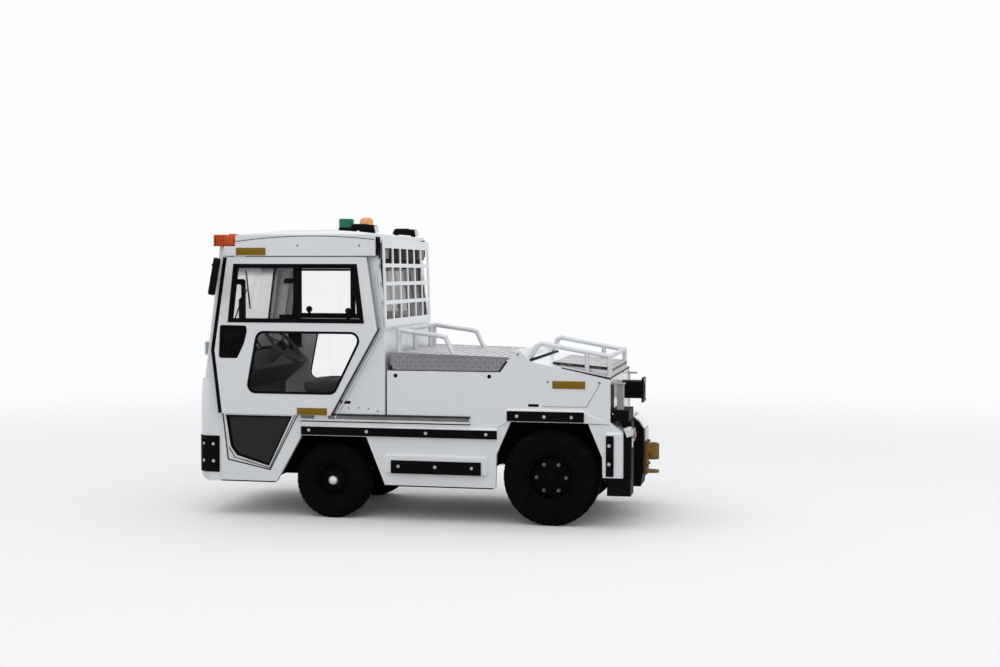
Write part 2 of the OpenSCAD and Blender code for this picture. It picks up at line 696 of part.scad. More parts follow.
module cab_guard() color(white) placed() translate([cab_rear_x - guard_t - 2, 0, guard_bottom_z])
    rotate([0, guard_lean, 0]) {
        inner = guard_y - guard_edge;
        difference() {
            translate([0, -guard_y, 0]) cube([guard_t, 2 * guard_y, guard_h]);
            for (row = [1:3]) guard_slots(row, 6, -inner, inner);
            for (s = [0, 1]) mirror([0, s, 0]) guard_slots(0, 1, inner - corner_hole_w, inner);
            guard_slots(0, 4, corner_hole_w + guard_bar - inner, inner - corner_hole_w - guard_bar);
        }
        // feet that reach forward to the rear wall
        for (y = [-560, 0, 560]) translate([guard_t, y - 20, 2]) cube([3, 40, 36]);
    }

module headlamps() color([0.85, 0.86, 0.88]) placed() {
    lamp_z = 1198;
    both_sides() difference() {
        intersection() {
            lengthways(screen_x(lamp_z) - 20, 76) translate([470, lamp_z]) rounded_box_outline(150, 108, 20);
            across(side_y) polygon([[screen_x(1100) + 0.3, 1100], [2700, 1100], [2700, 1300],
                [screen_x(1300) + 0.3, 1300]]);
        }
        lengthways(screen_x(lamp_z) + 40, 50) translate([470, lamp_z]) rounded_box_outline(130, 88, 16);
    }
}

// Work lamps on the roof's rear corners
module work_lamps() color(black) placed() {
    both_sides() side_slab(500, 110) polygon([[1252, roof_top(1252) + 1.6], [1450, roof_top(1450) + 1.6],
        [1428, 2088], [1264, 2082]]);
}

module front_indicators() color([0.9, 0.35, 0.1]) placed() both_sides()
    block([indicator_x + 0.5, indicator_y + 1, indicator_z + 0.3], [2438, roof_half_w + 4, 2022]);

module beacon_orange() color([0.9, 0.35, 0.1]) placed()
    translate([1500, 0, roof_top(1554) + 0.2]) {
        cylinder(r = 54, h = 30);
        translate([0, 0, 30]) cylinder(r = 50, h = 56);
        translate([0, 0, 86]) rotate_extrude() polygon([[0, 0], [50, 0], [44, 14], [30, 24], [0, 28]]);
    }

module beacon_green() color([0.1, 0.5, 0.35]) placed()
    translate([1656, 0, roof_top(roof_mid_x) + 0.2]) {
        cylinder(r = 60, h = 38);
        translate([0, 0, 38]) cylinder(r = 56, h = 64);
    }

mirror_mid = [2385, 780, 1717];
mirror_size = [50, 158, 262];
mirror_lean = 10.3;
mirror_turn = 23;
mirror_arm_r = 9;

// Mirrors that lean back and are turned in towards the driver, on two arms each
module mirrors() color(black) placed() both_sides() {
    translate(mirror_mid) rotate([0, -mirror_lean, 0]) rotate([0, 0, mirror_turn])
        translate([-mirror_size[0] / 2, 0, 0]) lengthways(0, mirror_size[0])
            rounded_box_outline(mirror_size[1], mirror_size[2], 26);
    for (z = [1700, 1800]) translate([screen_x(z) - mirror_arm_r, side_y - side_t, z])
        rotate([-90, 0, 0]) cylinder(r = mirror_arm_r, h = 120);
}

carrier_half_w = 150;
tow_plate_x = -590;
cover_slope = [[-440, 778], [-556, 689]];

module rear_bumper() color(black) placed() {
    // corner blocks below the boxes behind the rear wheels
    both_sides() block([-553, fender_in_y, 228], [-392, side_y + 5, 344]);
    // column behind the left-hand box and the step above it
    block([-553, fender_in_y, 344], [fender_x - 3, 600, 732]);
    block([-534, 300, 731], [body_rear_x - 3, 600, 812]);
    // middle carrier of the tow hitch, with a sloping top behind
    across(carrier_half_w) polygon([[-440, 227], [-572, 227], [tow_plate_x, 345], [tow_plate_x, 640],
        cover_slope[1], cover_slope[0]]);
    block([-500, -fender_in_y, 400], [-440, fender_in_y, 640]);
    both_sides() block([-441, frame_rail_y - 25, frame_z + 1], [rail_rear_x, frame_rail_y + 25, frame_z + frame_h - 1]);
    both_sides() block([-500, 190, 300], [-440, fender_in_y, 401]);
}

// White plate that slopes down over the carrier, with its rear edge turned down
module hitch_cover() color(white) placed() {
    t = 8;
    across(carrier_half_w - 14) polygon([cover_slope[0], cover_slope[1], [tow_plate_x, 640], [tow_plate_x - t, 642],
        [cover_slope[1][0] - t, cover_slope[1][1] + t], [cover_slope[0][0], cover_slope[0][1] + t + 2]]);
}

tow_x = -650;

// Tow hitch: a thin lower jaw and a thick upper block on a plate
module tow_hitch() color([0.5, 0.38, 0.12]) placed() difference() {
    lower_t = 20;
    upper_t = 112;
    plate_t = 20;
    eye_r = -tow_rear_x + tow_x;
    union() {
        block([tow_plate_x - plate_t, -70, tow_z - lower_t - 8], [tow_plate_x, 70, tow_z + tow_gap + upper_t + 24]);
        for (jaw = [[tow_z - lower_t, lower_t], [tow_z + tow_gap, upper_t]])
            translate([0, 0, jaw[0]]) linear_extrude(jaw[1]) {
                translate([tow_x, 0]) circle(r = eye_r);
                polygon([[tow_x, -eye_r], [tow_plate_x - 5, -60], [tow_plate_x - 5, 60], [tow_x, eye_r]]);
            }
    }
    translate([tow_x, 0, 200]) cylinder(r = tow_hole_r, h = 400);
}

module tail_lamps() color([0.6, 0.1, 0.08]) placed() {
    block([-575, 480, 600], [-553, 590, 680]);
    block([fender_x - 22, -590, 560], [fender_x, -480, 640]);
    block([-553, 600.3, 625], [-505, side_y + 2, 690]);
}

module deck_posts() color(steel) placed() {
    block([-494, 520, 812], [-450, 580, 985]);
    block([-500, 500, 985], [body_rear_x + 10, 590, 995]);
    block([-470, -580, 985], [body_rear_x + 10, -520, 995]);
}

inlet_r = 36;
inlet_l = 93;

module charging_inlet() color(black) placed() difference() {
    union() {
        block([-545, -300, 830], [body_rear_x + 10, -150, 955]);
        block([-560, -300, 800], [-544, -150, 980]);
    }
    translate([-562, -225, 892]) rotate([0, 90, 0]) cylinder(r = inlet_r, h = inlet_l + 2);
}

// Cab inside

platform_z = floor_z + 12;
seat_z = 860;

module seat_base() color(black) placed()
    block([1300, seat_y - 180, platform_z], [1800, seat_y + 180, seat_z]);

module seat_cushion() color(black) placed()
    block([1402, seat_y - seat_w / 2, seat_z + 0.3], [1870, seat_y + seat_w / 2, 980]);

module seat_back() color(black) placed() translate([0, seat_y, 0]) across(seat_w / 2)
    polygon([[1398, seat_z + 0.3], [1302, seat_z + 0.3], [1248, 1490], [1342, 1490]]);

column_top = [2068, seat_y, 1216];
column_l = 175;

// Dashboard, with a face square to the steering column
module dashboard() color([0.12, 0.12, 0.13]) placed() across(side_y - side_t - 45) {
    foot_x = column_top[0] + column_l * sqrt(0.5);
    foot_z = column_top[2] - column_l * sqrt(0.5);
    polygon([[2396, well_z + 12], [2396, 990], [screen_x(1000) - 34, 1000], [screen_x(1160) - 34, 1160],
        [foot_x + 68, 1160], [foot_x + 42, foot_z + 42], [foot_x - 42, foot_z - 42],
        [foot_x, foot_z - 84], [2340, 880], [2340, well_z + 12]]);
}

grab_x = 2226;
grab_z = [1368, 1698];
grab_t = 22;
grab_bar_w = 27;
grab_grip_w = 46;
grab_arm_h = 40;
grab_foot_l = 40;

// Rear edge of the front pillar at height z
function pillar_x(z) = door_opening[0][0] + (door_opening[0][1] - z)
    * (door_opening[1][0] - door_opening[0][0]) / (door_opening[0][1] - door_opening[1][1]);

// Handles for stepping in, on the inner faces of the front pillars
module grab_handles() color(black) placed() both_sides()
    side_slab(side_y - side_t - grab_t, grab_t) difference() {
        rounded_outline([[pillar_x(grab_z[1]) + grab_foot_l, grab_z[1]], [grab_x, grab_z[1]],
            [grab_x, grab_z[0]], [pillar_x(grab_z[0]) + grab_foot_l, grab_z[0]]], 20);
        difference() {
            low = grab_z[0] + grab_arm_h;
            high = grab_z[1] - grab_arm_h;
            rounded_outline([[grab_x + 300, high], [grab_x + grab_bar_w, high],
                [grab_x + grab_bar_w, low], [grab_x + 300, low]], 12);
            polygon([[grab_x, 1568], [grab_x + grab_bar_w, 1568], [grab_x + grab_grip_w, 1550],
                [grab_x + grab_grip_w, low - 1], [grab_x, low - 1]]);
        }
    }

module steering_column() color(black) placed()
    translate(column_top) rotate([0, 135, 0]) translate([0, 0, 37]) cylinder(r = 24, h = column_l - 37.3);

module steering_wheel() color(black) placed()
    translate(column_top) rotate([0, 135, 0]) {
        ring_r = steering_wheel_r - steering_grip_r;
        rotate_extrude($fn = fine_fn) translate([ring_r, 0]) circle(r = steering_grip_r, $fn = 24);
        cylinder(r = 40, h = 36);
        for (a = [0, 120, 240]) rotate([0, 0, a]) translate([0, -11, -4]) cube([ring_r, 22, 9]);
    }

// Doors

module door_side(side) placed() mirror([0, side < 0 ? 1 : 0, 0]) children();

module door_panel(side) color(white) door_side(side) {
    difference() {
        side_slab(door_y, door_t) polygon(door_outline);
        side_slab(door_y - 5, door_t + 10) polygon(upper_window);
        side_slab(door_y - 5, door_t + 10) rounded_outline(lower_window, lower_window_r);
        side_slab(door_y + 8, door_t) rounded_outline(handle_outline, 18);
    }
    // upper runner in the header's slot
    block([2190, door_y + 5, door_top_z], [2280, door_y + 21, header_z + 34]);
    // lower runner in the door rail
    runner_z = rail_z + rail_lip + 0.3;
    block([1590, side_y + 6, runner_z], [1690, door_y, runner_z + 22]);
    block([1590, side_y + rail_depth + 1, runner_z], [1690, door_y, 770]);
}

module door_glass(side) color([0.3, 0.38, 0.42, 0.5]) door_side(side) {
    side_slab(door_y + 8, glass_t) polygon(upper_pane);
    side_slab(door_y + 8, glass_t) rounded_outline(shrunk(lower_window), lower_window_r);
}

module door_trim(side) color(black) door_side(side) {
    difference() {
        side_slab(door_y, door_t + 3) polygon(upper_window);
        side_slab(door_y - 5, door_t + 10) polygon(upper_pane);
    }
    side_slab(door_y + 8 + glass_t, 8) polygon([[1796, 1420], [1836, 1420], [1836, 1776], [1796, 1776]]);
    side_slab(door_y + 8, 8) rounded_outline(shrunk(handle_outline), 18);
}

chassis_frame();
cab_floor();
cab_sides();
cab_rear_wall();
cab_front();
nose_cowl();
roof();
cab_glass();
cab_guard();
step_window_frames();
headlamps();
work_lamps();
front_indicators();
rubber_strips();
side_bodies();
wheel_liners();
door_rails();
battery_cover();
battery();
rear_hood();
rear_deck_plates();
deck_rails();
rear_rails();
drive_motor();
front_axle();
knuckle(1);  // knuckle_left
knuckle(-1);  // knuckle_right
rear_axle();
rear_bumper();
hitch_cover();
tow_hitch();
tail_lamps();
deck_posts();
charging_inlet();
seat_base();
seat_cushion();
seat_back();
dashboard();
grab_handles();
steering_column();
steering_wheel();
beacon_orange();
beacon_green();
mirrors();
door_panel(1);  // door_left
door_glass(1);  // door_left_glass
door_trim(1);  // door_left_trim
door_panel(-1);  // door_right
door_glass(-1);  // door_right_glass
door_trim(-1);  // door_right_trim
front_tyre(1);  // tyre_front_left
front_tyre(-1);  // tyre_front_right
rear_tyre(1);  // tyre_rear_left
rear_tyre(-1);  // tyre_rear_right
front_rim(1);  // rim_front_left
front_rim(-1);  // rim_front_right
rear_rim(1);  // rim_rear_left
rear_rim(-1);  // rim_rear_right
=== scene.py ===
import json
import math

import bmesh
import bpy
from mathutils import Matrix, Vector

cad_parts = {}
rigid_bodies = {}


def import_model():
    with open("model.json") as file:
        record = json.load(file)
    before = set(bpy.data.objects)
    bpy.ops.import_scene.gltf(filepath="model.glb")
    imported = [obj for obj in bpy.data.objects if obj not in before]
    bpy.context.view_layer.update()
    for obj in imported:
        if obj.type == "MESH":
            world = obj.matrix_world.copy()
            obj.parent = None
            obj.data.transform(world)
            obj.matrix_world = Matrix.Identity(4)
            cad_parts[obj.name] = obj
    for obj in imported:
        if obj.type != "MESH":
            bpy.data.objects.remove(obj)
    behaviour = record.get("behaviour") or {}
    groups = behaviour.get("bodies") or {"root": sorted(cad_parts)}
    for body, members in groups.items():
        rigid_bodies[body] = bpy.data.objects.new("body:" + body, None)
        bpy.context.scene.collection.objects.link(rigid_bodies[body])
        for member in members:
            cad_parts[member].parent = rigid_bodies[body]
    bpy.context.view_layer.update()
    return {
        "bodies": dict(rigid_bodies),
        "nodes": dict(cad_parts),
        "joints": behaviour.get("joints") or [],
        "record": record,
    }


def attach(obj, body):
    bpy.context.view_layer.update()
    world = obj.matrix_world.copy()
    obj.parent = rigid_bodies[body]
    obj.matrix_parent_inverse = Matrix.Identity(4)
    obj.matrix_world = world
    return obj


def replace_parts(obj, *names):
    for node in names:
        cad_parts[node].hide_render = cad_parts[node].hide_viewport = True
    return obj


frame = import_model()
nodes = frame["nodes"]
print("frame loaded")

# Places are in millimetres: forward from the rear axle, to the left, up from the ground
axleToOrigin = 947.0
wheelbase = 1574
bothSides = (1, -1)
sideNames = {1: "left", -1: "right"}


def at(x, y, z):
    return Vector(((x - axleToOrigin) / 1000, y / 1000, z / 1000))


# Camera, floor and light

camera = {"place": (-1593.2, 10288.2, 1752.3), "yaw": 0.1991, "pitch": 0.043, "roll": 0.0021, "lens": 51.506}


def aimCamera():
    yaw, pitch = camera["yaw"], camera["pitch"]
    ahead = Vector((math.sin(yaw) * math.cos(pitch), -math.cos(yaw) * math.cos(pitch), -math.sin(pitch)))
    right = ahead.cross(Vector((0, 0, 1))).normalized()
    up = right.cross(ahead)
    turn = Matrix((right, up, -ahead)).transposed().to_4x4()
    data = bpy.data.cameras.new("camera")
    data.lens = camera["lens"]
    data.sensor_width = 36
    data.clip_end = 200
    eye = bpy.data.objects.new("camera", data)
    roll = Matrix.Rotation(camera["roll"], 4, "Z")
    eye.matrix_world = Matrix.Translation(at(*camera["place"])) @ turn @ roll
    bpy.context.scene.collection.objects.link(eye)
    bpy.context.scene.camera = eye


aimCamera()
bpy.context.scene.view_settings.view_transform = "Standard"


# A shader's sockets with the usual operators, so that its maths reads as an expression
class Wire:
    def __init__(self, shader, socket):
        self.shader = shader
        self.socket = socket

    def math(self, operation, *values):
        return self.shader.node("ShaderNodeMath", {"operation": operation}, dict(enumerate(values)))

    def __add__(self, other):
        return self.math("ADD", self, other)

    __radd__ = __add__

    def __sub__(self, other):
        return self.math("SUBTRACT", self, other)

    def __rsub__(self, other):
        return self.math("SUBTRACT", other, self)

    def __mul__(self, other):
        return self.math("MULTIPLY", self, other)

    __rmul__ = __mul__

    def clamp(self):
        return self.shader.node("ShaderNodeClamp", {}, {"Value": self})

    def step(self, low, high):
        return self.shader.node("ShaderNodeMapRange", {"interpolation_type": "SMOOTHSTEP"},
                                {"Value": self, "From Min": low, "From Max": high})


class Shader:
    def __init__(self, name):
        self.material = bpy.data.materials.new(name)
        self.material.use_nodes = True
        self.tree = self.material.node_tree
        self.tree.nodes.clear()
        self.place = self.node("ShaderNodeTexCoord", {}, {}, "Object")

    def node(self, kind, settings, values, output=0):
        made = self.tree.nodes.new(kind)
        for key, value in settings.items():
            if key == "stops":
                for stop in range(len(value) - 2):
                    made.color_ramp.elements.new(0.5)
                for element, (position, colour) in zip(made.color_ramp.elements, value):
                    element.position = position
                    element.color = colour
            else:
                setattr(made, key, value)
        for key, value in values.items():
            if isinstance(value, Wire):
                self.tree.links.new(value.socket, made.inputs[key])
            else:
                made.inputs[key].default_value = value
        return Wire(self, made.outputs[output])

    def scaled(self, x, y, z):
        return self.node("ShaderNodeMapping", {}, {"Vector": self.place, "Scale": (x, y, z)})

    def noise(self, scale, detail=4, roughness=0.55, stretch=None):
        vector = self.scaled(*stretch) if stretch else self.place
        values = {"Vector": vector, "Scale": scale, "Detail": detail, "Roughness": roughness}
        return self.node("ShaderNodeTexNoise", {}, values)

    def mix(self, factor, first, second):
        return self.node("ShaderNodeMix", {"data_type": "RGBA"}, {0: factor, 6: first, 7: second}, 2)

    def axis(self, name):
        return self.node("ShaderNodeSeparateXYZ", {}, {"Vector": self.place}, name)

    # Grows towards slanting views, the same on a face's front and back
    def slant(self):
        facing = self.node("ShaderNodeLayerWeight", {}, {"Blend": 0.5}, "Facing")
        return facing.math("POWER", facing, 4.0)

    # Faint marks of wiping on glass
    def smear(self):
        return self.noise(9.0, 5, 0.6, (1.0, 1.0, 0.4)).step(0.5, 0.85) * 0.05

    def bump(self, value, strength, distance):
        return self.node("ShaderNodeBump", {}, {"Height": value, "Strength": strength, "Distance": distance})

    def done(self, **values):
        values = {key.replace("_", " "): value for key, value in values.items()}
        shade = self.node("ShaderNodeBsdfPrincipled", {}, values)
        out = self.tree.nodes.new("ShaderNodeOutputMaterial")
        self.tree.links.new(shade.socket, out.inputs["Surface"])
        return self.material


def rgb(r, g, b):
    return (r, g, b, 1)


def darker(colour, share):
    return tuple(share * part for part in colour[:3]) + (1,)


def paint(name, colour, dust, rough, coat, grime=1.0, shine=0.5):
    shader = Shader(name)
    cloud = shader.noise(1.7, 3)
    streak = shader.noise(2.3, 5, 0.65, (4.0, 4.0, 0.5))
    patch = shader.noise(0.9, 4, 0.6)
    speck = shader.noise(60.0, 2, 0.5)
    low = 1 - shader.axis("Z").step(0.15, 1.15)
    stain = streak.step(0.55, 0.8) * patch.step(0.42, 0.68) * 0.3
    dirt = ((stain + speck.step(0.62, 0.75) * 0.12) * (0.2 + low) * grime).clamp()
    tint = shader.mix(cloud.step(0.3, 0.7) * 0.35, colour, darker(colour, 0.93))
    orange = shader.noise(900.0, 1)
    return shader.done(Base_Color=shader.mix(dirt, tint, dust),
                       Roughness=(rough + dirt * 0.4 + cloud * 0.06).clamp(), Coat_Weight=coat,
                       Coat_Roughness=0.12, Specular_IOR_Level=shine,
                       Normal=shader.bump(orange, 0.05, 0.0004))


def rubber(name, colour, dust, rough):
    shader = Shader(name)
    grey = shader.noise(14.0, 5, 0.65)
    fine = shader.noise(220.0, 3)
    powder = grey.step(0.45, 0.8) * 0.3 + fine.step(0.6, 0.8) * 0.1
    return shader.done(Base_Color=shader.mix(powder, colour, dust), Roughness=(rough + powder * 0.2).clamp(),
                       Specular_IOR_Level=0.04, Normal=shader.bump(fine, 0.25, 0.0006))


# sides and above are a place and a colour for what lies further out or higher than it; the colour given as
# sides is painted shade
def metal(name, colour, dust, rough, metallic=1.0, grain=(1.0, 1.0, 1.0), sides=None, above=None):
    shader = Shader(name)
    brushed = shader.noise(160.0, 4, 0.6, grain)
    cloud = shader.noise(6.0, 4)
    dull = cloud.step(0.45, 0.7) * 0.4 + brushed * 0.1
    base = shader.mix(dull, colour, dust)
    if sides:
        across = shader.axis("Y")
        base = shader.mix(across.math("ABSOLUTE", across).step(sides[0] - 0.003, sides[0]), base, sides[1])
    if above:
        base = shader.mix(shader.axis("Z").step(above[0] - 0.001, above[0]), base, above[1])
    return shader.done(Base_Color=base, Roughness=(rough + dull * 0.35).clamp(),
                       Metallic=metallic, Normal=shader.bump(brushed, 0.12, 0.0004))


def plastic(name, colour, rough, shine, dust, grain=260.0):
    shader = Shader(name)
    leather = shader.noise(grain, 2)
    cloud = shader.noise(7.0, 4)
    wear = cloud.step(0.5, 0.8) * 0.06
    return shader.done(Base_Color=shader.mix(wear, colour, dust), Roughness=(rough + cloud * 0.12).clamp(),
                       Specular_IOR_Level=shine, Normal=shader.bump(leather, 0.2, 0.0005))


def lens(name, colour, alpha, rough=0.08, coat=0.1):
    shader = Shader(name)
    cloud = shader.noise(30.0, 3)
    return shader.done(Base_Color=shader.mix(cloud * 0.25, colour, darker(colour, 0.7)),
                       Roughness=(rough + cloud * 0.05).clamp(), Alpha=alpha, Coat_Weight=coat,
                       Coat_Roughness=0.04, Specular_IOR_Level=0.2)


def glass(name, colour, clear):
    shader = Shader(name)
    edge, smear = shader.slant(), shader.smear()
    return shader.done(Base_Color=colour, Roughness=(0.02 + smear).clamp(),
                       Alpha=(edge + clear + smear).clamp(), Specular_IOR_Level=1.0)


# The cab's own panes: clear windscreen with a blue band along its top, rear window, near black step panes
def cabGlass():
    shader = Shader("cab glass")
    front, high = shader.axis("X").step(1.15, 1.25), shader.axis("Z")
    band = high.step(1.7, 1.79) * front
    dark = 1 - high.step(0.74, 0.76)
    edge, smear = shader.slant(), shader.smear()
    tint = shader.mix(band, rgb(0.006, 0.008, 0.009), rgb(0.012, 0.07, 0.2))
    solid = edge + smear + 0.04 + band * 0.6 + dark + (1 - front) * 0.2
    return shader.done(Base_Color=tint, Roughness=(0.02 + smear).clamp(), Alpha=solid.clamp(),
                       Specular_IOR_Level=0.25)


def cloth(name, colour, light):
    shader = Shader(name)
    weave = shader.node("ShaderNodeTexWave", {"bands_direction": "DIAGONAL"},
                        {"Vector": shader.place, "Scale": 420.0, "Distortion": 2.0})
    blotch = shader.noise(18.0, 4)
    share = (weave * 0.3 + blotch.step(0.4, 0.8) * 0.3).clamp()
    return shader.done(Base_Color=shader.mix(share, colour, light),
                       Roughness=0.9, Sheen_Weight=0.3, Normal=shader.bump(weave, 0.35, 0.0008))


dustBrown = rgb(0.33, 0.3, 0.26)
dustGrey = rgb(0.2, 0.19, 0.18)
whitePaint = paint("white paint", rgb(0.84, 0.855, 0.87), dustBrown, 0.28, 0.5)
blackPaint = paint("black frame paint", rgb(0.0035, 0.0035, 0.004), dustGrey, 0.5, 0.0, 0.25, 0.05)
linerPaint = paint("wheel liner paint", rgb(0.003, 0.003, 0.003), dustGrey, 0.9, 0.0, 0.1, 0.03)
greyPaint = paint("grey paint", rgb(0.28, 0.285, 0.29), dustBrown, 0.4, 0.1, 1.3)
boxPaint = paint("box paint", rgb(0.2, 0.205, 0.21), dustBrown, 0.45, 0.0, 1.0, 0.3)
rimPaint = paint("wheel paint", rgb(0.0035, 0.0035, 0.004), dustGrey, 0.7, 0.0, 0.1, 0.03)
caseMetal = paint("battery case paint", rgb(0.08, 0.09, 0.1), dustGrey, 0.5, 0.1, 1.2)
tyreRubber = rubber("tyre rubber", rgb(0.003, 0.003, 0.0033), rgb(0.018, 0.0175, 0.017), 0.8)
blackRubber = rubber("black rubber", rgb(0.003, 0.003, 0.0035), rgb(0.014, 0.014, 0.014), 0.6)
matRubber = rubber("floor mat", rgb(0.05, 0.05, 0.052), rgb(0.16, 0.15, 0.14), 0.8)
plateMetal = metal("tread plate", rgb(0.62, 0.62, 0.63), rgb(0.33, 0.33, 0.33), 0.36, 0.8)
# the cover's side plates, further out than 0.633, take a darker colour: painted shade, as these faces get less
# light than the top
coverMetal = metal("cover plate with painted side shade", rgb(0.62, 0.62, 0.63), rgb(0.33, 0.33, 0.33), 0.36, 0.8,
                   sides=(0.633, rgb(0.2, 0.195, 0.21)))
# darker lozenges for the cover's side plates: painted shade
shadedSideMetal = metal("cover lozenges in painted side shade", rgb(0.27, 0.265, 0.28), rgb(0.15, 0.15, 0.15), 0.4, 0.8)
railShade = metal("door rail", rgb(0.68, 0.69, 0.7), rgb(0.4, 0.4, 0.4), 0.34, 0.5, (1.0, 8.0, 8.0),
                  above=(0.7365, rgb(0.02, 0.02, 0.02)))
bareAluminium = metal("bare aluminium", rgb(0.6, 0.61, 0.62), rgb(0.4, 0.4, 0.4), 0.34, 0.7, (1.0, 8.0, 8.0))
railMetal = metal("rail tube", rgb(0.68, 0.69, 0.7), rgb(0.45, 0.45, 0.46), 0.38, 0.45)
dullSteel = metal("dull steel", rgb(0.5, 0.5, 0.5), rgb(0.25, 0.24, 0.23), 0.4, 0.9)
brightSteel = metal("bright steel", rgb(0.75, 0.75, 0.76), rgb(0.4, 0.39, 0.38), 0.25)
nutSteel = metal("dark steel", rgb(0.16, 0.16, 0.16), rgb(0.06, 0.06, 0.06), 0.5, 0.7)
# grey for the floor of the door rail's slot: painted shade
slotShadeMetal = metal("painted shade of rail slot", rgb(0.2, 0.205, 0.21), rgb(0.12, 0.12, 0.12), 0.5, 0.3)
hitchMetal = metal("worn hitch", rgb(0.2, 0.11, 0.018), rgb(0.028, 0.017, 0.006), 0.55, 0.45)
# near black with pale mottling: painted shade on the deck tiers' edge faces, with dust
edgeShadeAndDust = rubber("shaded dusty plate edge", rgb(0.03, 0.03, 0.032), rgb(1.0, 1.0, 1.0), 0.7)
lampSide = plastic("lamp side", rgb(0.3, 0.34, 0.38), 0.4, 0.3, rgb(0.5, 0.5, 0.5))
mirrorSilver = metal("mirror silver", rgb(0.86, 0.87, 0.88), rgb(0.8, 0.8, 0.8), 0.03)
blackPlastic = plastic("black plastic", rgb(0.003, 0.003, 0.0035), 0.45, 0.05, rgb(0.05, 0.05, 0.05))
greyPlastic = plastic("grey plastic", rgb(0.06, 0.06, 0.065), 0.55, 0.2, rgb(0.3, 0.29, 0.27))
orangeLens = lens("orange lens", rgb(0.62, 0.085, 0.008), 1.0)
amberLens = lens("amber beacon lens", rgb(0.8, 0.38, 0.14), 1.0)
greenLens = lens("green lens", rgb(0.003, 0.14, 0.075), 1.0)
redLens = lens("red lens", rgb(0.3, 0.015, 0.015), 1.0)
yellowReflector = lens("yellow reflector", rgb(0.24, 0.135, 0.002), 1.0, 0.4, 0.0)
clearLens = lens("clear lens", rgb(0.85, 0.87, 0.9), 0.35)
lampLens = lens("frosted lamp lens", rgb(0.7, 0.72, 0.74), 1.0, 0.15)
dialFace = lens("dial face", rgb(0.03, 0.035, 0.04), 1.0, 0.2)
windowGlass = glass("window glass", rgb(0.012, 0.016, 0.018), 0.03)
paneGlass = cabGlass()
seatCloth = cloth("seat cloth", rgb(0.02, 0.02, 0.023), rgb(0.07, 0.07, 0.075))
print("materials ready")

slotMaterials = {
    "white_paint": whitePaint, "black_paint": blackPaint, "grey_steel": greyPaint, "rim_black": rimPaint,
    "checker_plate": plateMetal, "bare_aluminium": bareAluminium, "battery_case": caseMetal,
    "tyre_rubber": tyreRubber, "black_rubber": blackRubber, "floor_mat": matRubber, "clear_glass": windowGlass,
    "lamp_clear": whitePaint, "lamp_black": blackPlastic, "grey_plastic": greyPlastic, "seat_cloth": seatCloth,
    "lens_orange": orangeLens, "lens_green": greenLens, "lens_red": redLens, "hitch_brown": hitchMetal,
}


# CAD nodes take their own finish or that of their slot, and thin bevels on their sharp edges
ownFinish = {"wheel_liners": linerPaint, "deck_rails": railMetal, "rear_rails": railMetal,
             "cab_glass": paneGlass, "battery_cover": coverMetal, "door_rails": railShade}
# Nodes by the width of their bevels in millimetres
edgeWidths = {
    0.8: ["door_rails"], 1.0: ["rear_deck_plates", "cab_guard"], 2.0: ["rubber_strips", "charging_inlet"],
    1.5: ["battery_cover", "deck_posts", "hitch_cover", "step_window_frames"], 2.5: ["tow_hitch"],
    3.0: ["cab_sides", "door_left", "door_right", "side_bodies", "cab_front", "cab_rear_wall", "roof",
          "rear_hood", "rear_bumper", "headlamps", "chassis_frame"],
    4.0: ["nose_cowl", "work_lamps"], 5.0: ["seat_base"], 6.0: ["dashboard"],
}


def dressNodes():
    for row in frame["record"]["subparts"]:
        node = nodes[row["node"]]
        node.data.materials.clear()
        node.data.materials.append(ownFinish.get(row["node"]) or slotMaterials[row["material_slot"]])
        width = next((wide for wide, names in edgeWidths.items() if row["node"] in names), None)
        if not width:
            continue
        weld = node.modifiers.new("weld", "WELD")
        weld.merge_threshold = 0.00002
        flat = node.modifiers.new("flat", "DECIMATE")
        flat.decimate_type = "DISSOLVE"
        flat.angle_limit = math.radians(0.5)
        soft = node.modifiers.new("soft", "BEVEL")
        soft.width = width / 1000
        soft.segments = 2
        soft.limit_method = "ANGLE"
        soft.angle_limit = math.radians(35)
        soft.harden_normals = True


dressNodes()


# Tools for new pieces

def shape():
    return bmesh.new()


def copyInto(bm, part, matrix=Matrix()):
    mesh = bpy.data.meshes.new("part")
    part.to_mesh(mesh)
    mesh.transform(matrix)
    if matrix.determinant() < 0:
        mesh.flip_normals()
    bm.from_mesh(mesh)
    bpy.data.meshes.remove(mesh)


def soften(bm, width, segments=2, angle=30):
    sharp = [e for e in bm.edges if len(e.link_faces) == 2 and e.calc_face_angle() > math.radians(angle)]
    bmesh.ops.bevel(bm, geom=sharp, offset=width / 1000, offset_type="OFFSET", affect="EDGES",
                    segments=segments, profile=0.5, material=-1, clamp_overlap=True)


# Box with its corners at two places, softened along its edges
def block(low, high, width=0.0, segments=2):
    bm = shape()
    first, second = at(*low), at(*high)
    size = [abs(part) for part in second - first]
    matrix = Matrix.Translation((first + second) / 2) @ Matrix.Diagonal((*size, 1))
    bmesh.ops.create_cube(bm, size=1, matrix=matrix)
    if width:
        soften(bm, width, segments)
    return bm


# Turned shape about Z, from pairs of radius and height in millimetres
def turned(profile, steps=32):
    bm = shape()
    points = [bm.verts.new((r / 1000, 0, z / 1000)) for r, z in profile]
    edges = [bm.edges.new(pair) for pair in zip(points, points[1:])]
    bmesh.ops.spin(bm, geom=points + edges, cent=(0, 0, 0), axis=(0, 0, 1), dvec=(0, 0, 0), angle=math.tau,
                   steps=steps, use_merge=True, use_duplicate=False)
    bmesh.ops.remove_doubles(bm, verts=bm.verts, dist=0.00001)
    bmesh.ops.recalc_face_normals(bm, faces=bm.faces)
    return bm


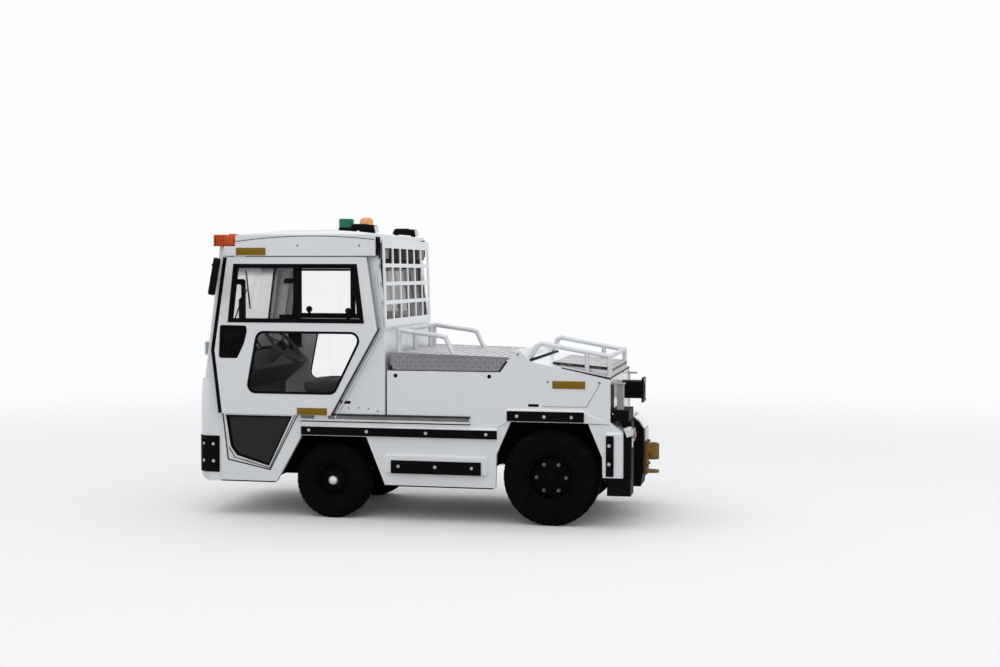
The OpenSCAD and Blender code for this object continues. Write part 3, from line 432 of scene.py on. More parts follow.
# Flat outline in millimetres, as pairs, given a thickness along Z
def slab(outline, thickness, width=0.0, segments=2):
    bm = shape()
    face = bm.faces.new([bm.verts.new((x / 1000, y / 1000, 0)) for x, y in outline])
    made = bmesh.ops.extrude_face_region(bm, geom=[face])
    top = [v for v in made["geom"] if isinstance(v, bmesh.types.BMVert)]
    bmesh.ops.translate(bm, verts=top, vec=(0, 0, thickness / 1000))
    bmesh.ops.recalc_face_normals(bm, faces=bm.faces)
    if width:
        soften(bm, width, segments)
    return bm


# Outline as [x, z] pairs on one side of the vehicle, from inner y outwards
def sideSlab(outline, innerY, thickness, side=1, width=0.0, segments=2):
    bm = slab([(x - axleToOrigin, z) for x, z in outline], thickness, width, segments)
    stand = Matrix(((1, 0, 0, 0), (0, 0, 1, innerY / 1000), (0, 1, 0, 0), (0, 0, 0, 1)))
    flip = Matrix.Diagonal((1, side, 1, 1))
    bm.transform(flip @ stand)
    bmesh.ops.recalc_face_normals(bm, faces=bm.faces)
    return bm


def roundedCorners(outline, radius, steps=5):
    points = []
    count = len(outline)
    for i, corner in enumerate(outline):
        b = Vector(corner)
        u = (Vector(outline[i - 1]) - b).normalized()
        v = (Vector(outline[(i + 1) % count]) - b).normalized()
        half = u.angle(v) / 2
        reach = radius / math.tan(half)
        centre = b + (u + v).normalized() * radius / math.sin(half)
        start, end = b + u * reach - centre, b + v * reach - centre
        sweep = start.angle_signed(end)
        for step in range(steps + 1):
            points.append(tuple(centre + Matrix.Rotation(-sweep * step / steps, 2) @ start))
    return points


def roundedBox(width, height, radius, steps=6):
    x, y = width / 2, height / 2
    return roundedCorners([(-x, -y), (x, -y), (x, y), (-x, y)], radius, steps)


# Flat frame between an outline and the same outline drawn inwards
def flatRing(outline, band, thickness, width=0.0):
    bm = shape()
    face = bm.faces.new([bm.verts.new((x / 1000, y / 1000, 0)) for x, y in outline])
    face.normal_update()
    bmesh.ops.inset_region(bm, faces=[face], thickness=band / 1000, use_even_offset=True, use_boundary=True)
    bmesh.ops.delete(bm, geom=[face], context="FACES_ONLY")
    made = bmesh.ops.extrude_face_region(bm, geom=bm.faces[:])
    top = [v for v in made["geom"] if isinstance(v, bmesh.types.BMVert)]
    bmesh.ops.translate(bm, verts=top, vec=(0, 0, thickness / 1000))
    bmesh.ops.recalc_face_normals(bm, faces=bm.faces)
    if width:
        soften(bm, width, 2, 50)
    return bm


# Frame of [x, z] pairs on one side of the vehicle
def sideRing(outline, band, innerY, thickness, side=1, width=0.0):
    bm = flatRing(outline, band, thickness, width)
    stand = Matrix(((1, 0, 0, -axleToOrigin / 1000), (0, 0, side, side * innerY / 1000), (0, 1, 0, 0),
                    (0, 0, 0, 1)))
    bm.transform(stand)
    bmesh.ops.recalc_face_normals(bm, faces=bm.faces)
    return bm


# Upright rectangle on one side of the vehicle, between two corners
def sidePlate(x0, z0, x1, z1, innerY, thickness, side, width=0.0):
    return sideSlab([(x0, z0), (x1, z0), (x1, z1), (x0, z1)], innerY, thickness, side, width)


def sideBlock(low, high, side, width=0.0, segments=2):
    low, high = [(x, side * y, z) for x, y, z in (low, high)]
    return block(low, high, width, segments)


# Strip of a given width along [x, z] points on one side of the vehicle
def seamStrip(points, width, innerY, thickness, side):
    centre = [Vector(p) for p in points]
    normals = []
    for a, b in zip(centre, centre[1:]):
        along = (b - a).normalized()
        normals.append(Vector((-along.y, along.x)))
    left, right = [], []
    for i, p in enumerate(centre):
        first, second = normals[max(i - 1, 0)], normals[min(i, len(normals) - 1)]
        out = (first + second) / (1 + first.dot(second)) * width / 2
        left.append(tuple(p + out))
        right.append(tuple(p - out))
    return sideSlab(left + right[::-1], innerY, thickness, side)


# Round bar along points in millimetres
def bar(points, radius):
    curve = bpy.data.curves.new("bar", "CURVE")
    curve.dimensions = "3D"
    curve.bevel_depth = radius / 1000
    curve.bevel_resolution = 3
    curve.use_fill_caps = True
    spline = curve.splines.new("POLY")
    spline.points.add(len(points) - 1)
    for knot, point in zip(spline.points, points):
        knot.co = (*at(*point), 1)
    holder = bpy.data.objects.new("bar", curve)
    bpy.context.scene.collection.objects.link(holder)
    mesh = bpy.data.meshes.new_from_object(holder.evaluated_get(bpy.context.evaluated_depsgraph_get()))
    bm = shape()
    bm.from_mesh(mesh)
    bpy.data.objects.remove(holder)
    bpy.data.curves.remove(curve)
    bpy.data.meshes.remove(mesh)
    bmesh.ops.remove_doubles(bm, verts=bm.verts, dist=0.00001)
    bmesh.ops.recalc_face_normals(bm, faces=bm.faces)
    return bm


# Joins shapes, each alone or with its matrix
def joined(parts):
    bm = shape()
    for part in parts:
        copyInto(bm, *(part if isinstance(part, tuple) else (part,)))
    return bm


# One visible piece on a body, whose edges stay sharp beyond an angle
def finishPiece(name, parts, body, material, smooth=35):
    bm = joined(parts)
    for face in bm.faces:
        face.smooth = True
    for edge in bm.edges:
        if len(edge.link_faces) == 2 and edge.calc_face_angle() > math.radians(smooth):
            edge.smooth = False
    mesh = bpy.data.meshes.new(name)
    bm.to_mesh(mesh)
    bm.free()
    mesh.materials.append(material)
    piece = bpy.data.objects.new(name, mesh)
    bpy.context.scene.collection.objects.link(piece)
    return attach(piece, body)


def shift(x, y, z=0):
    return Matrix.Translation((x / 1000, y / 1000, z / 1000))


# Stands a flat shape up: its x along u, its y along v, its thickness along out
def planeAt(origin, u, v, out):
    turn = Matrix((u, v, out)).transposed().to_4x4()
    return Matrix.Translation(at(*origin)) @ turn


# Upright plane across the vehicle that faces ahead or to the rear
def facing(x, y, z, ahead):
    return planeAt((x, y, z), (0, 1, 0), (0, 0, 1), (ahead, 0, 0))


# Turns a shape made about Z so that Z points out of one side of the vehicle
def outOfSide(x, y, z, side):
    return Matrix.Translation(at(x, side * y, z)) @ Matrix.Rotation(-side * math.pi / 2, 4, "X")


# The same shape at several [x, z] places on one side
def spread(part, places, y, side):
    return [(part, outOfSide(x, y, z, side)) for x, z in places]


def dome(radius, height):
    return turned([(radius, 0), (radius, height * 0.35), (radius * 0.8, height * 0.8), (radius * 0.4, height),
                   (0, height)], 16)


def flatDisc(outer, inner, thick):
    return turned([(outer, 0), (outer, thick), (inner, thick), (inner, 0), (outer, 0)], 40)


def hexBolt(acrossFlats, height):
    bm = shape()
    bmesh.ops.create_cone(bm, cap_ends=True, cap_tris=False, segments=6, radius1=acrossFlats / 1732,
                          radius2=acrossFlats / 1732, depth=height / 1000,
                          matrix=Matrix.Translation((0, 0, height / 2000)))
    soften(bm, 0.8, 1)
    return bm


# Wheels: tyres with tread, nuts and hub caps

tyres = {
    "front": {"radius": 268, "width": 160, "seat": 118, "x": wheelbase, "face": 606, "pitches": 40,
              "depth": 9},
    "rear": {"radius": 335, "width": 185, "seat": 158, "x": 0, "face": 622, "pitches": 46, "depth": 11},
}


def carcass(size):
    wall = size["radius"] - size["seat"]
    wide, rim, floor = size["width"], size["width"] / 2 - 22, size["radius"] - size["depth"]
    half = [(size["seat"] + up, rim + out) for up, out in
            ((0.4, -8.8), (13, 1), (17, 9), (24, 13), (26, 15.5), (30, 15.5), (32, 14.5))]
    half += [(size["seat"] + wall * 0.36, wide / 2 - 3), (size["seat"] + wall * 0.52, wide / 2 - 0.5),
             (size["seat"] + wall * 0.66, wide / 2 - 1.5), (size["seat"] + wall * 0.78, wide * 0.48),
             (size["radius"] - 22, wide * 0.45), (floor - 3, wide * 0.4), (floor, wide * 0.37)]
    return turned([(r, -z) for r, z in half] + half[::-1] + [(half[0][0], -half[0][1])], 96)


# One pitch of the tread: two middle ribs and a lug on each shoulder
def treadPitch(size):
    bm = shape()
    wide, top = size["width"], size["radius"] - 0.7
    pitch = math.tau * size["radius"] / size["pitches"]
    for low, high, skew in ((0.2, 0.36, 0.5), (0.02, 0.17, -0.35)):
        for side in bothSides:
            lug = shape()
            bmesh.ops.create_cube(lug, size=1)
            for v in lug.verts:
                outer = v.co.z > 0
                shoulder = outer and low > 0.1 and v.co.x < 0
                across = (0.425 if shoulder else high if outer else low) * wide * side
                deep = -16 if shoulder else 0
                height = top + deep if v.co.x > 0 or deep else size["radius"] - size["depth"] - 3
                along = v.co.y * pitch * 0.74 + (across * side - low * wide) * skew
                v.co = (height / 1000, along / 1000, across / 1000)
            copyInto(bm, lug)
            lug.free()
    bmesh.ops.recalc_face_normals(bm, faces=bm.faces)
    return bm


def dressTyre(end, side):
    size, name = tyres[end], sideNames[side]
    lugs, count = treadPitch(size), size["pitches"]
    tread = [(lugs, Matrix.Rotation(math.tau * i / count, 4, "Z")) for i in range(count)]
    bm = joined([carcass(size)] + tread)
    place = outOfSide(size["x"], size["face"] - size["width"] / 2, size["radius"], side)
    tyre = finishPiece(f"{end}_tyre_{name}", [(bm, place)], f"wheel_{end}_{name}", tyreRubber)
    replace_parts(tyre, f"tyre_{end}_{name}")


wheelParts = {
    "rimInset": 28, "rearCircle": 102.5, "rearStuds": 6, "frontCircle": 66, "frontStuds": 5, "hubCircle": 54,
    "stud": [(7, 0), (7, 13), (5, 15), (0, 15)], "valve": [(4, 0), (4, 34), (5, 35), (5, 44), (0, 45)],
    "hub": [(0, 24), (30, 24), (40, 21), (45, 12), (46, -3), (62, -3), (64, -6), (64, -12), (0, -12)],
    "cap": [(0, 33), (10, 32), (22, 28), (32, 20), (36, 10), (37, 0), (40, -2), (40, -8), (0, -8)],
}


# Places on a circle about a wheel's middle, as pairs of x and z
def roundWheel(size, radius, count, turn=0.0):
    angles = [math.tau * (i + turn) / count for i in range(count)]
    return [(size["x"] + radius * math.cos(a), size["radius"] + radius * math.sin(a)) for a in angles]


def dressRims(side):
    name, parts, rear, front = sideNames[side], wheelParts, tyres["rear"], tyres["front"]
    # rear: studs with nuts round the hub, a hub cap and a tyre valve
    y = rear["face"] - parts["rimInset"]
    studs = roundWheel(rear, parts["rearCircle"], parts["rearStuds"])
    nuts = spread(hexBolt(24, 20), studs, y - 18, side)
    nuts += spread(turned(parts["stud"], 12), studs, y + 2, side)
    finishPiece(f"rear_nuts_{name}", nuts, f"wheel_rear_{name}", nutSteel)
    hub = spread(turned(parts["hub"], 40), [(0, rear["radius"])], y, side)
    hub += spread(hexBolt(13, 8), roundWheel(rear, parts["hubCircle"], parts["rearStuds"], 0.5), y - 4, side)
    hub += spread(turned(parts["valve"], 12), [(-90, rear["radius"] + 88)], y - 26, side)
    finishPiece(f"rear_hub_{name}", hub, f"wheel_rear_{name}", rimPaint)
    # front: a bright domed grease cap, and dark nuts
    y = front["face"] - parts["rimInset"]
    cap = spread(turned(parts["cap"], 40), [(wheelbase, front["radius"])], y, side)
    finishPiece(f"front_cap_{name}", cap, f"wheel_front_{name}", brightSteel)
    nuts = spread(hexBolt(24, 16), roundWheel(front, parts["frontCircle"], parts["frontStuds"]), y - 14, side)
    finishPiece(f"front_nuts_{name}", nuts, f"wheel_front_{name}", rimPaint)


for side in bothSides:
    dressTyre("front", side)
    dressTyre("rear", side)
    dressRims(side)
print("wheels done")


# Body sides: bolts through the rubber strips, reflectors, seams, small fixings and black strips of painted
# shadow

# Plates are x, z of two corners, inner y and thickness
sideParts = {
    "stripFace": 661, "bodyFace": 635, "headerFace": 689,
    "bolt": (8.5, 5), "washer": [(11.5, 0), (11.5, 1.5), (8, 1.5), (0, 1.5)],
    "stripBolts": [(1730, 631), (1305, 629), (877, 628), (448, 629), (1075, 391), (811, 392), (550, 391),
                   (231, 762), (41, 761), (-148, 761), (-407, 573), (-406, 447)],
    "noseBolts": [(2458, 512), (2457, 389), (2534, 513), (2534, 390)],
    "noseCorner": {"x": 2488, "y": 545, "radius": 96},
    "screws": [(230, 1186), (20, 1000), (-335, 1000)], "plugs": [(1100, 1026), (430, 1030)],
    "rivets": [(1509, 778), (1442, 792), (1370, 794), (1297, 789), (1230, 773)],
    "headerRivets": [(1799, 1936), (1347, 1936)],
    "slots": [(1429, 821, 1504, 841), (83, 827, 156, 845)],
    "reflectors": {"header": (2036, 1868, 2256, 1920, 689, 5), "door": (1588, 741, 1809, 790, 681, 5),
                   "side": (-239, 955, -12, 1007, 635, 5)},
    "seams": [((-345, 1001), (-248, 831), (56, 829)), ((-409, 712), (-258, 718))],
    # the plates below the door rail, along the bottom edges and below the rubber strip are black strips of
    # painted shadow
    "railShadow": (563, 688, 1798, 697, 635, 1.2), "railSlot": (572, 711.5, 1792, 735.5, 638.1, 0.8),
    "bottomEdgeShadows": [(398, 247, 1172, 255, 634, 4), (1984, 247, 2398, 255, 634, 4)],
    "stripFootShadow": (484, 341, 1129, 355, 651, 9), "coverCorner": [(1139, 1067), (1112, 1067), (1139, 1108)],
    "archBar": {"out": 15, "top": 792, "bottom": 722, "jointTop": 800, "jointBottom": 720},
    "facets": [(-234, -400, 716), (302, 384, 668)], "archCorner": [(274, 730), (376, 615), (378, 490)],
}


# Slanted end of the arch's bar, from its square end to a tip in the side's face
def barFacet(end, tip, z, side):
    bm, base, bar = shape(), sideParts["bodyFace"], sideParts["archBar"]
    face = base + bar["out"]
    corners = [(end, face, bar["top"]), (tip, base + 0.5, z), (end, face, bar["bottom"]),
               (end, base, bar["jointTop"]), (tip, base, z - 2), (end, base, bar["jointBottom"])]
    points = [bm.verts.new(at(x, side * y, z)) for x, y, z in corners]
    for loop in ((0, 1, 2), (3, 5, 4), (0, 3, 4, 1), (1, 4, 5, 2), (0, 2, 5, 3)):
        bm.faces.new([points[i] for i in loop])
    bmesh.ops.recalc_face_normals(bm, faces=bm.faces)
    return bm


def dressSide(side):
    name, facts, face = sideNames[side], sideParts, sideParts["bodyFace"]
    bolt, washer = dome(*facts["bolt"]), turned(facts["washer"], 20)
    bolts = spread(washer, facts["stripBolts"], facts["stripFace"], side)
    bolts += spread(bolt, facts["stripBolts"], facts["stripFace"] + 1, side)
    # the pad follows the nose's round corner
    corner = facts["noseCorner"]
    for x, z in facts["noseBolts"]:
        turn = math.asin(max(0, x - corner["x"]) / corner["radius"])
        y = corner["y"] + corner["radius"] * math.cos(turn)
        place = outOfSide(x, y, z, side) @ Matrix.Rotation(turn, 4, "Y")
        bolts += [(washer, place), (bolt, place)]
    finishPiece(f"strip_bolts_{name}", bolts, "chassis", dullSteel)
    for place, plate in facts["reflectors"].items():
        body = f"door_{name}" if place == "door" else "chassis"
        reflector = [sidePlate(*plate, side, 1.5)]
        finishPiece(f"reflector_{place}_{name}", reflector, body, yellowReflector)
    screws = spread(dome(9, 4), facts["screws"], face, side)
    screws += spread(dome(7, 2.5), facts["rivets"], face, side)
    screws += spread(dome(8, 3), facts["headerRivets"], facts["headerFace"], side)
    finishPiece(f"side_screws_{name}", screws, "chassis", greyPaint)
    dark = spread(dome(14, 4), facts["plugs"], face, side)
    dark += [sidePlate(*slot, face, 1.2, side, 0.5) for slot in facts["slots"]]
    dark += [seamStrip(line, 3, face, 0.6, side) for line in facts["seams"]]
    # black strips of painted shadow: below the door rail, along the bottom edges and below the rubber strip
    plates = (facts["railShadow"], *facts["bottomEdgeShadows"], facts["stripFootShadow"])
    dark += [sidePlate(*plate, side, 0.4) for plate in plates]
    finishPiece(f"side_plugs_and_shadow_lines_{name}", dark, "chassis", blackRubber)
    # grey strip on the floor of the rail's slot: painted shade
    railSlot = [sidePlate(*facts["railSlot"], side)]
    finishPiece(f"rail_slot_shade_{name}", railSlot, "chassis", slotShadeMetal)
    corner = [sideSlab(facts["coverCorner"], face + 0.1, 1.2, side)]
    finishPiece(f"cover_corner_{name}", corner, "battery_cover", blackRubber)
    # the arch's bar runs out in a facet at each end, and a straight edge cuts the arch's front corner
    facets = [barFacet(*facet, side) for facet in facts["facets"]]
    facets.append(sideSlab(facts["archCorner"], face - 29.5, 29.5, side))
    finishPiece(f"fender_facet_{name}", facets, "chassis", whitePaint)


for side in bothSides:
    dressSide(side)
print("body sides done")


# Doors: seals, the sliding pane's frame, knobs, handle and latch box

doorParts = {
    "face": 681, "inner": 655, "glass": 669, "recess": 672,
    "frontEdge": [(2342, 1850), (2391, 1520), (2439, 1192), (2417, 1010), (2387, 741)],
    "rearEdge": [(1216, 1360), (1213, 1346), (1556, 741)], "rearUpper": [(1288, 1850), (1216, 1360)],
    "lowerWindow": [(2111, 1331), (1310, 1331), (1532, 885), (2196, 885)], "corner": 64, "ring": 17,
    "slider": [(1788, 1772), (1386, 1772), (1350, 1426), (1788, 1426)],
    "knobs": [(1718, 1488), (1431, 1477)], "knob": [(22, 0), (22, 9), (18, 12), (0, 12)],
    "paddle": [(2352, 1330), (2222, 1328), (2236, 1258), (2352, 1258)],
    "lock": (2318, 1196), "barrel": [(13, 0), (13, 7), (10, 9), (4, 9), (4, 6), (0, 6)],
    "latchBox": ((2240, 655, 1150), (2350, 642, 1330)),
}


def dressDoor(side):
    name, facts = sideNames[side], doorParts
    body, inside, pane = f"door_{name}", doorParts["inner"] + 2, doorParts["glass"] + 2
    bm = joined([seamStrip(facts["frontEdge"], 33, inside, 22, side),
                 seamStrip(facts["rearEdge"], 5, inside, 20, side)])
    soften(bm, 2, 1, 50)
    finishPiece(f"door_seal_{name}", [bm], body, blackRubber)
    edge = seamStrip(facts["rearUpper"], 4, inside, 20, side)
    finishPiece(f"door_edge_seal_{name}", [edge], body, greyPaint)
    outline = roundedCorners(facts["lowerWindow"], facts["corner"], 6)
    rubberRing = sideRing(outline, facts["ring"], facts["face"] - 10, 13, side, 2.5)
    finishPiece(f"door_window_rubber_{name}", [rubberRing], body, blackRubber)
    slider = [sideRing(facts["slider"], 15, pane - 1, 8, side, 1.5)]
    slider += spread(turned(facts["knob"], 24), facts["knobs"], pane, side)
    for x, z in facts["knobs"]:
        stem = [(x - 12, z - 58), (x + 12, z - 58), (x + 9, z), (x - 9, z)]
        slider.append(sideSlab(stem, pane, 7, side, 2))
    finishPiece(f"door_slider_{name}", slider, body, blackPlastic)
    handle = [sideSlab(roundedCorners(facts["paddle"], 14), facts["recess"], 8, side, 3)]
    handle += spread(turned(facts["barrel"], 24), [facts["lock"]], facts["recess"], side)
    finishPiece(f"door_handle_{name}", handle, body, blackPlastic)
    latch = [sideBlock(*facts["latchBox"], side, 4)]
    finishPiece(f"door_latch_{name}", latch, body, blackPlastic)


for side in bothSides:
    dressDoor(side)
print("doors done")


# Cab: seams, window rubbers, wiper, mirrors and lamps

cab = {
    "lean": 7.2, "screenFoot": 2530, "screenMid": 1595,
    "rearMid": 1616, "rearFace": 1207.4, "rearLean": (56, 517),
    "roofTop": 2045, "roofRadius": 4150, "roofMid": 1700, "roofThick": 44,
    # black strips at the header's rear end and under it: painted shadow
    "joint": {"rear": 1238, "long": 1026, "steps": 24}, "headerEndShade": ((1219, 602, 1866), (1233.5, 664, 1996)),
    "headerFootShadow": ((1238, 640, 1858.5), (1334, 652, 1861.8)),
    "stepFrame": [(2387, 741), (1818, 741), (2028, 337), (2346, 403)],
    "stepGlass": [(2364, 724), (1863, 724), (2038, 363), (2281, 434), (2328, 499)],
    "stepLine": [(1838, 736), (2032, 349), (2296, 419), (2340, 490)],
    "postEdge": [(1240, 1760), (1190, 1338), (1540, 722)],
}


def roofTop(x):
    return cab["roofTop"] - cab["roofRadius"] + math.sqrt(cab["roofRadius"] ** 2 - (x - cab["roofMid"]) ** 2)


def screenX(z):
    return cab["screenFoot"] - (z - 1000) * math.tan(math.radians(cab["lean"]))


# Plane that leans back from a place in the middle, seen from the front or from the rear
def leaning(x, z, turn, ahead):
    return planeAt((x, 0, z), (0, ahead, 0), (-ahead * math.sin(turn), 0, math.cos(turn)),
                   (ahead * math.cos(turn), 0, math.sin(turn)))


screenPlane = leaning(screenX(cab["screenMid"]), cab["screenMid"], math.radians(cab["lean"]), 1)
rearPlane = leaning(cab["rearFace"], cab["rearMid"], math.atan2(*cab["rearLean"]), -1)

# Rings are width, height, corner, band, thickness and softness
windows = {
    "screen": (1154, 528, 62, 30, 7, 2.5), "rear": (1142, 456, 50, 26, 6, 2),
    "pivot": [(20, 0), (20, 16), (14, 22), (0, 22)], "pivotPlace": (160, -285),
    "arm": [(160, -285, 18), (60, -130, 22), (-60, 20, 16)],
    "blade": [(-150, -130, 9), (-60, 20, 9), (30, 170, 9)],
}


def dressWindows():
    rings = [(flatRing(roundedBox(*windows[key][:3]), *windows[key][3:]), plane @ shift(0, 0, -2))
             for key, plane in (("screen", screenPlane), ("rear", rearPlane))]
    finishPiece("window_rubbers", rings, "chassis", blackRubber)
    wiper = [(turned(windows["pivot"], 24), screenPlane @ shift(*windows["pivotPlace"]))]
    for key, radius in (("arm", 5), ("blade", 6)):
        wiper.append((bar([(axleToOrigin + x, y, z) for x, y, z in windows[key]], radius), screenPlane))
    finishPiece("wiper", wiper, "chassis", blackPlastic)


guardBack = {"board": ((1222, -396, 1838), (1229.5, 396, 1962)),
             "box": ((1206, 424, 1842), (1229.5, 590, 1958))}


# Dark board on the wall behind the guard's upper row, with a grey box behind each corner hole
def dressGuardBack():
    finishPiece("guard_back_board", [block(*guardBack["board"], 2)], "chassis", blackPlastic)
    boxes = [sideBlock(*guardBack["box"], side, 8, 3) for side in bothSides]
    finishPiece("guard_back_boxes", boxes, "chassis", boxPaint)


def dressRoof():
    for side in bothSides:
        name, joint, frame = sideNames[side], cab["joint"], cab["stepFrame"]
        # dark joint between the roof skin and the header above the door, black strips of painted shadow at the
        # header's rear end and under it, and the step window's dark lines
        steps = [joint["rear"] + joint["long"] * i / joint["steps"] for i in range(joint["steps"] + 1)]
        low = [(x, roofTop(x) - cab["roofThick"] + 0.5) for x in steps]
        parts = [seamStrip(low, 4, 681, 9, side), sideBlock(*cab["headerEndShade"], side, 2, 1),
                 sideBlock(*cab["headerFootShadow"], side), seamStrip(frame + frame[:1], 7, 632, 4.5, side),
                 sideRing(cab["stepGlass"], 13, 620, 14.5, side, 1.5),
                 seamStrip(cab["stepLine"], 5, 632, 4, side)]
        finishPiece(f"roof_joint_and_shadow_lines_{name}", parts, "chassis", blackRubber)
        # metal edge behind the door's sloping rear edge
        edge = seamStrip(cab["postEdge"], 12, 635, 14, side)
        finishPiece(f"door_post_edge_{name}", [edge], "chassis", bareAluminium)


mirror = {"x": 2385, "y": 780, "z": 1717, "width": 157, "tall": 261, "thick": 48, "lean": 10.3, "turn": 23,
          "armHeights": (1700, 1800), "armFoot": 605.5, "armEnd": 724, "armRadius": 8.5, "armBack": 9}


def dressMirrors():
    wide, tall, face = mirror["width"], mirror["tall"], mirror["thick"] / 2
    housings, panes = [], []
    for side in bothSides:
        turn = Matrix.Rotation(math.radians(-mirror["lean"]), 4, "Y") @ Matrix.Rotation(
            math.radians(side * mirror["turn"]), 4, "Z")
        plane = Matrix.Translation(at(mirror["x"], side * mirror["y"], mirror["z"])) @ turn @ Matrix(
            ((0, 0, -1, 0), (1, 0, 0, 0), (0, 1, 0, 0), (0, 0, 0, 1)))
        shell = slab(roundedBox(wide, tall, 38), mirror["thick"])
        soften(shell, 11, 4, 60)
        rim = flatRing(roundedBox(wide - 10, tall - 10, 34), 9, 5, 1.5)
        housings += [(shell, plane @ shift(0, 0, -face)), (rim, plane @ shift(0, 0, face - 3))]
        panes.append((slab(roundedBox(wide - 26, tall - 26, 27), 1.5), plane @ shift(0, 0, face - 0.5)))
        for z in mirror["armHeights"]:
            x = screenX(z) - mirror["armBack"]
            ends = [(x, side * mirror["armFoot"], z), (x, side * mirror["armEnd"], z)]
            housings.append(bar(ends, mirror["armRadius"]))
    housing = finishPiece("mirror_housings", housings, "chassis", blackPlastic)
    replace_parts(housing, "mirrors")
    finishPiece("mirror_panes", panes, "chassis", mirrorSilver)


# Two corners and softness of each block of a front indicator
indicator = [((2278, 572, 1934), (2420, 676, 2006), 16), ((2268, 580, 1962), (2330, 668, 2020), 14),
             ((2335, 570, 1931), (2436, 678, 1942), 5)]
indicator += [((2340 + 19 * i, 564, 1932), (2353 + 19 * i, 684, 2014), 6) for i in range(5)]


def dressIndicators():
    parts = [sideBlock(low, high, side, width, 3) for side in bothSides for low, high, width in indicator]
    lamp = finishPiece("indicator_lenses", parts, "chassis", orangeLens)
    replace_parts(lamp, "front_indicators")


def flutedLens(radius, profile, flutes, deep):
    bm = turned(profile, flutes * 4)
    for v in bm.verts:
        if math.hypot(v.co.x, v.co.y) > radius * 0.0006:
            around = math.atan2(v.co.y, v.co.x)
            grow = 1 - deep / radius * (0.5 + 0.5 * math.cos(around * flutes))
            v.co.x *= grow
            v.co.y *= grow
    return bm


beacons = {
    "orange": {"x": 1500, "seat": roofTop(1554), "base": [(0, 0), (53, 0), (53, 22), (47, 30), (0, 30)],
               "lens": [(50, 26), (50, 84), (47, 96), (38, 107), (22, 113), (0, 114)], "flutes": 22},
    "green": {"x": 1656, "seat": roofTop(1700), "base": [(0, 0), (59, 0), (59, 30), (52, 40), (0, 40)],
              "lens": [(55, 36), (56, 90), (53, 99), (48, 101), (0, 101)], "flutes": 26},
}


def dressBeacons():
    for colour, lensMaterial in (("orange", amberLens), ("green", greenLens)):
        facts = beacons[colour]
        place = Matrix.Translation(at(facts["x"], 0, facts["seat"] + 0.3))
        base = [(turned(facts["base"], 40), place)]
        finishPiece(f"beacon_{colour}_base", base, "chassis", blackPlastic)
        bulb = [(flutedLens(facts["lens"][0][0], facts["lens"], facts["flutes"], 1.6), place)]
        piece = finishPiece(f"beacon_{colour}_lens", bulb, "chassis", lensMaterial)
        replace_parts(piece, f"beacon_{colour}")


workLamp = {"rear": 1256, "front": 1446, "gap": 8, "top": [(1425, 2086), (1268, 2081)], "inner": 500,
            "wide": 110, "fins": (1330, 20, 5), "fin": ((0, 506, 2070), (7, 604, 2089)),
            "feet": (1275, 1410), "foot": (26, 530, 580),
            "pane": (92, 44, 8), "panePlace": (1262, 555, 2052), "paneTilt": (0.16, 0.987)}


def dressWorkLamps():
    housings, panes = [], []
    facts, (sine, cosine) = workLamp, workLamp["paneTilt"]
    for side in bothSides:
        foot = [(x, roofTop(x) + facts["gap"]) for x in (facts["rear"], facts["front"])]
        housings.append(sideSlab(foot + facts["top"], facts["inner"], facts["wide"], side, 9, 3))
        start, pitch, count = facts["fins"]
        (_, y0, z0), (thick, y1, z1) = facts["fin"]
        for x in range(start, start + pitch * count, pitch):
            housings.append(sideBlock((x, y0, z0), (x + thick, y1, z1), side, 1.5, 1))
        long, y0, y1 = facts["foot"]
        for x in facts["feet"]:
            housings.append(sideBlock((x, y0, roofTop(x) - 1), (x + long, y1, roofTop(x) + 14), side, 2, 1))
        x, y, z = facts["panePlace"]
        plane = planeAt((x, side * y, z), (0, 1, 0), (sine, 0, cosine), (-cosine, 0, sine))
        panes.append((slab(roundedBox(*facts["pane"]), 5, 2), plane))
    housing = finishPiece("work_lamp_housings", housings, "chassis", blackPlastic)
    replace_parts(housing, "work_lamps")
    finishPiece("work_lamp_panes", panes, "chassis", lampLens)


headlamp = {"y": 470, "z": 1198, "out": 42, "glass": (128, 86, 15), "bowls": (-30, 30),
            "bowl": [(27, 12), (22, 5), (12, 2), (0, 1.6)],
            "flank": [(2508, 1160), (2550, 1160), (2550, 1238), (2508, 1238)], "flankFace": 544.6}


def dressHeadlamps():
    bowls, panes, flanks = [], [], []
    for side in bothSides:
        plane = facing(screenX(headlamp["z"]) + headlamp["out"], side * headlamp["y"], headlamp["z"], 1)
        bowls.append((slab(roundedBox(*headlamp["glass"]), 2), plane))
        bowls += [(turned(headlamp["bowl"], 32), plane @ shift(y, 0, 2)) for y in headlamp["bowls"]]
        pane = slab(roundedBox(*headlamp["glass"]), 3)
        soften(pane, 1.2, 2, 60)
        panes.append((pane, plane @ shift(0, 0, 12.5)))
        flanks.append(sideSlab(roundedCorners(headlamp["flank"], 6), headlamp["flankFace"], 1.4, side))
    finishPiece("headlamp_bowls", bowls, "chassis", brightSteel)
    finishPiece("headlamp_panes", panes, "chassis", clearLens)
    finishPiece("headlamp_sides", flanks, "chassis", lampSide)


dressWindows()
dressGuardBack()
dressRoof()
dressMirrors()
dressIndicators()
dressBeacons()
dressWorkLamps()
dressHeadlamps()
print("cab outside done")


# Decks: tread plate's raised lozenges, edges in painted shade with dust, rail feet and a black strip of
# painted shadow at the hump's foot

deck = {"pitch": 41, "lozenge": (29, 11, 1.6), "rear": 290, "front": 1140, "low": 1161, "high": 1188,
        "skirt": 1066, "sideFace": 635, "railFoot": [(26, 0), (26, 3), (19, 6), (18, 8)],
        "railPosts": [(703, 515), (1107, 515), (1107, -515), (703, -515), (1107, 66), (1107, -389)]}


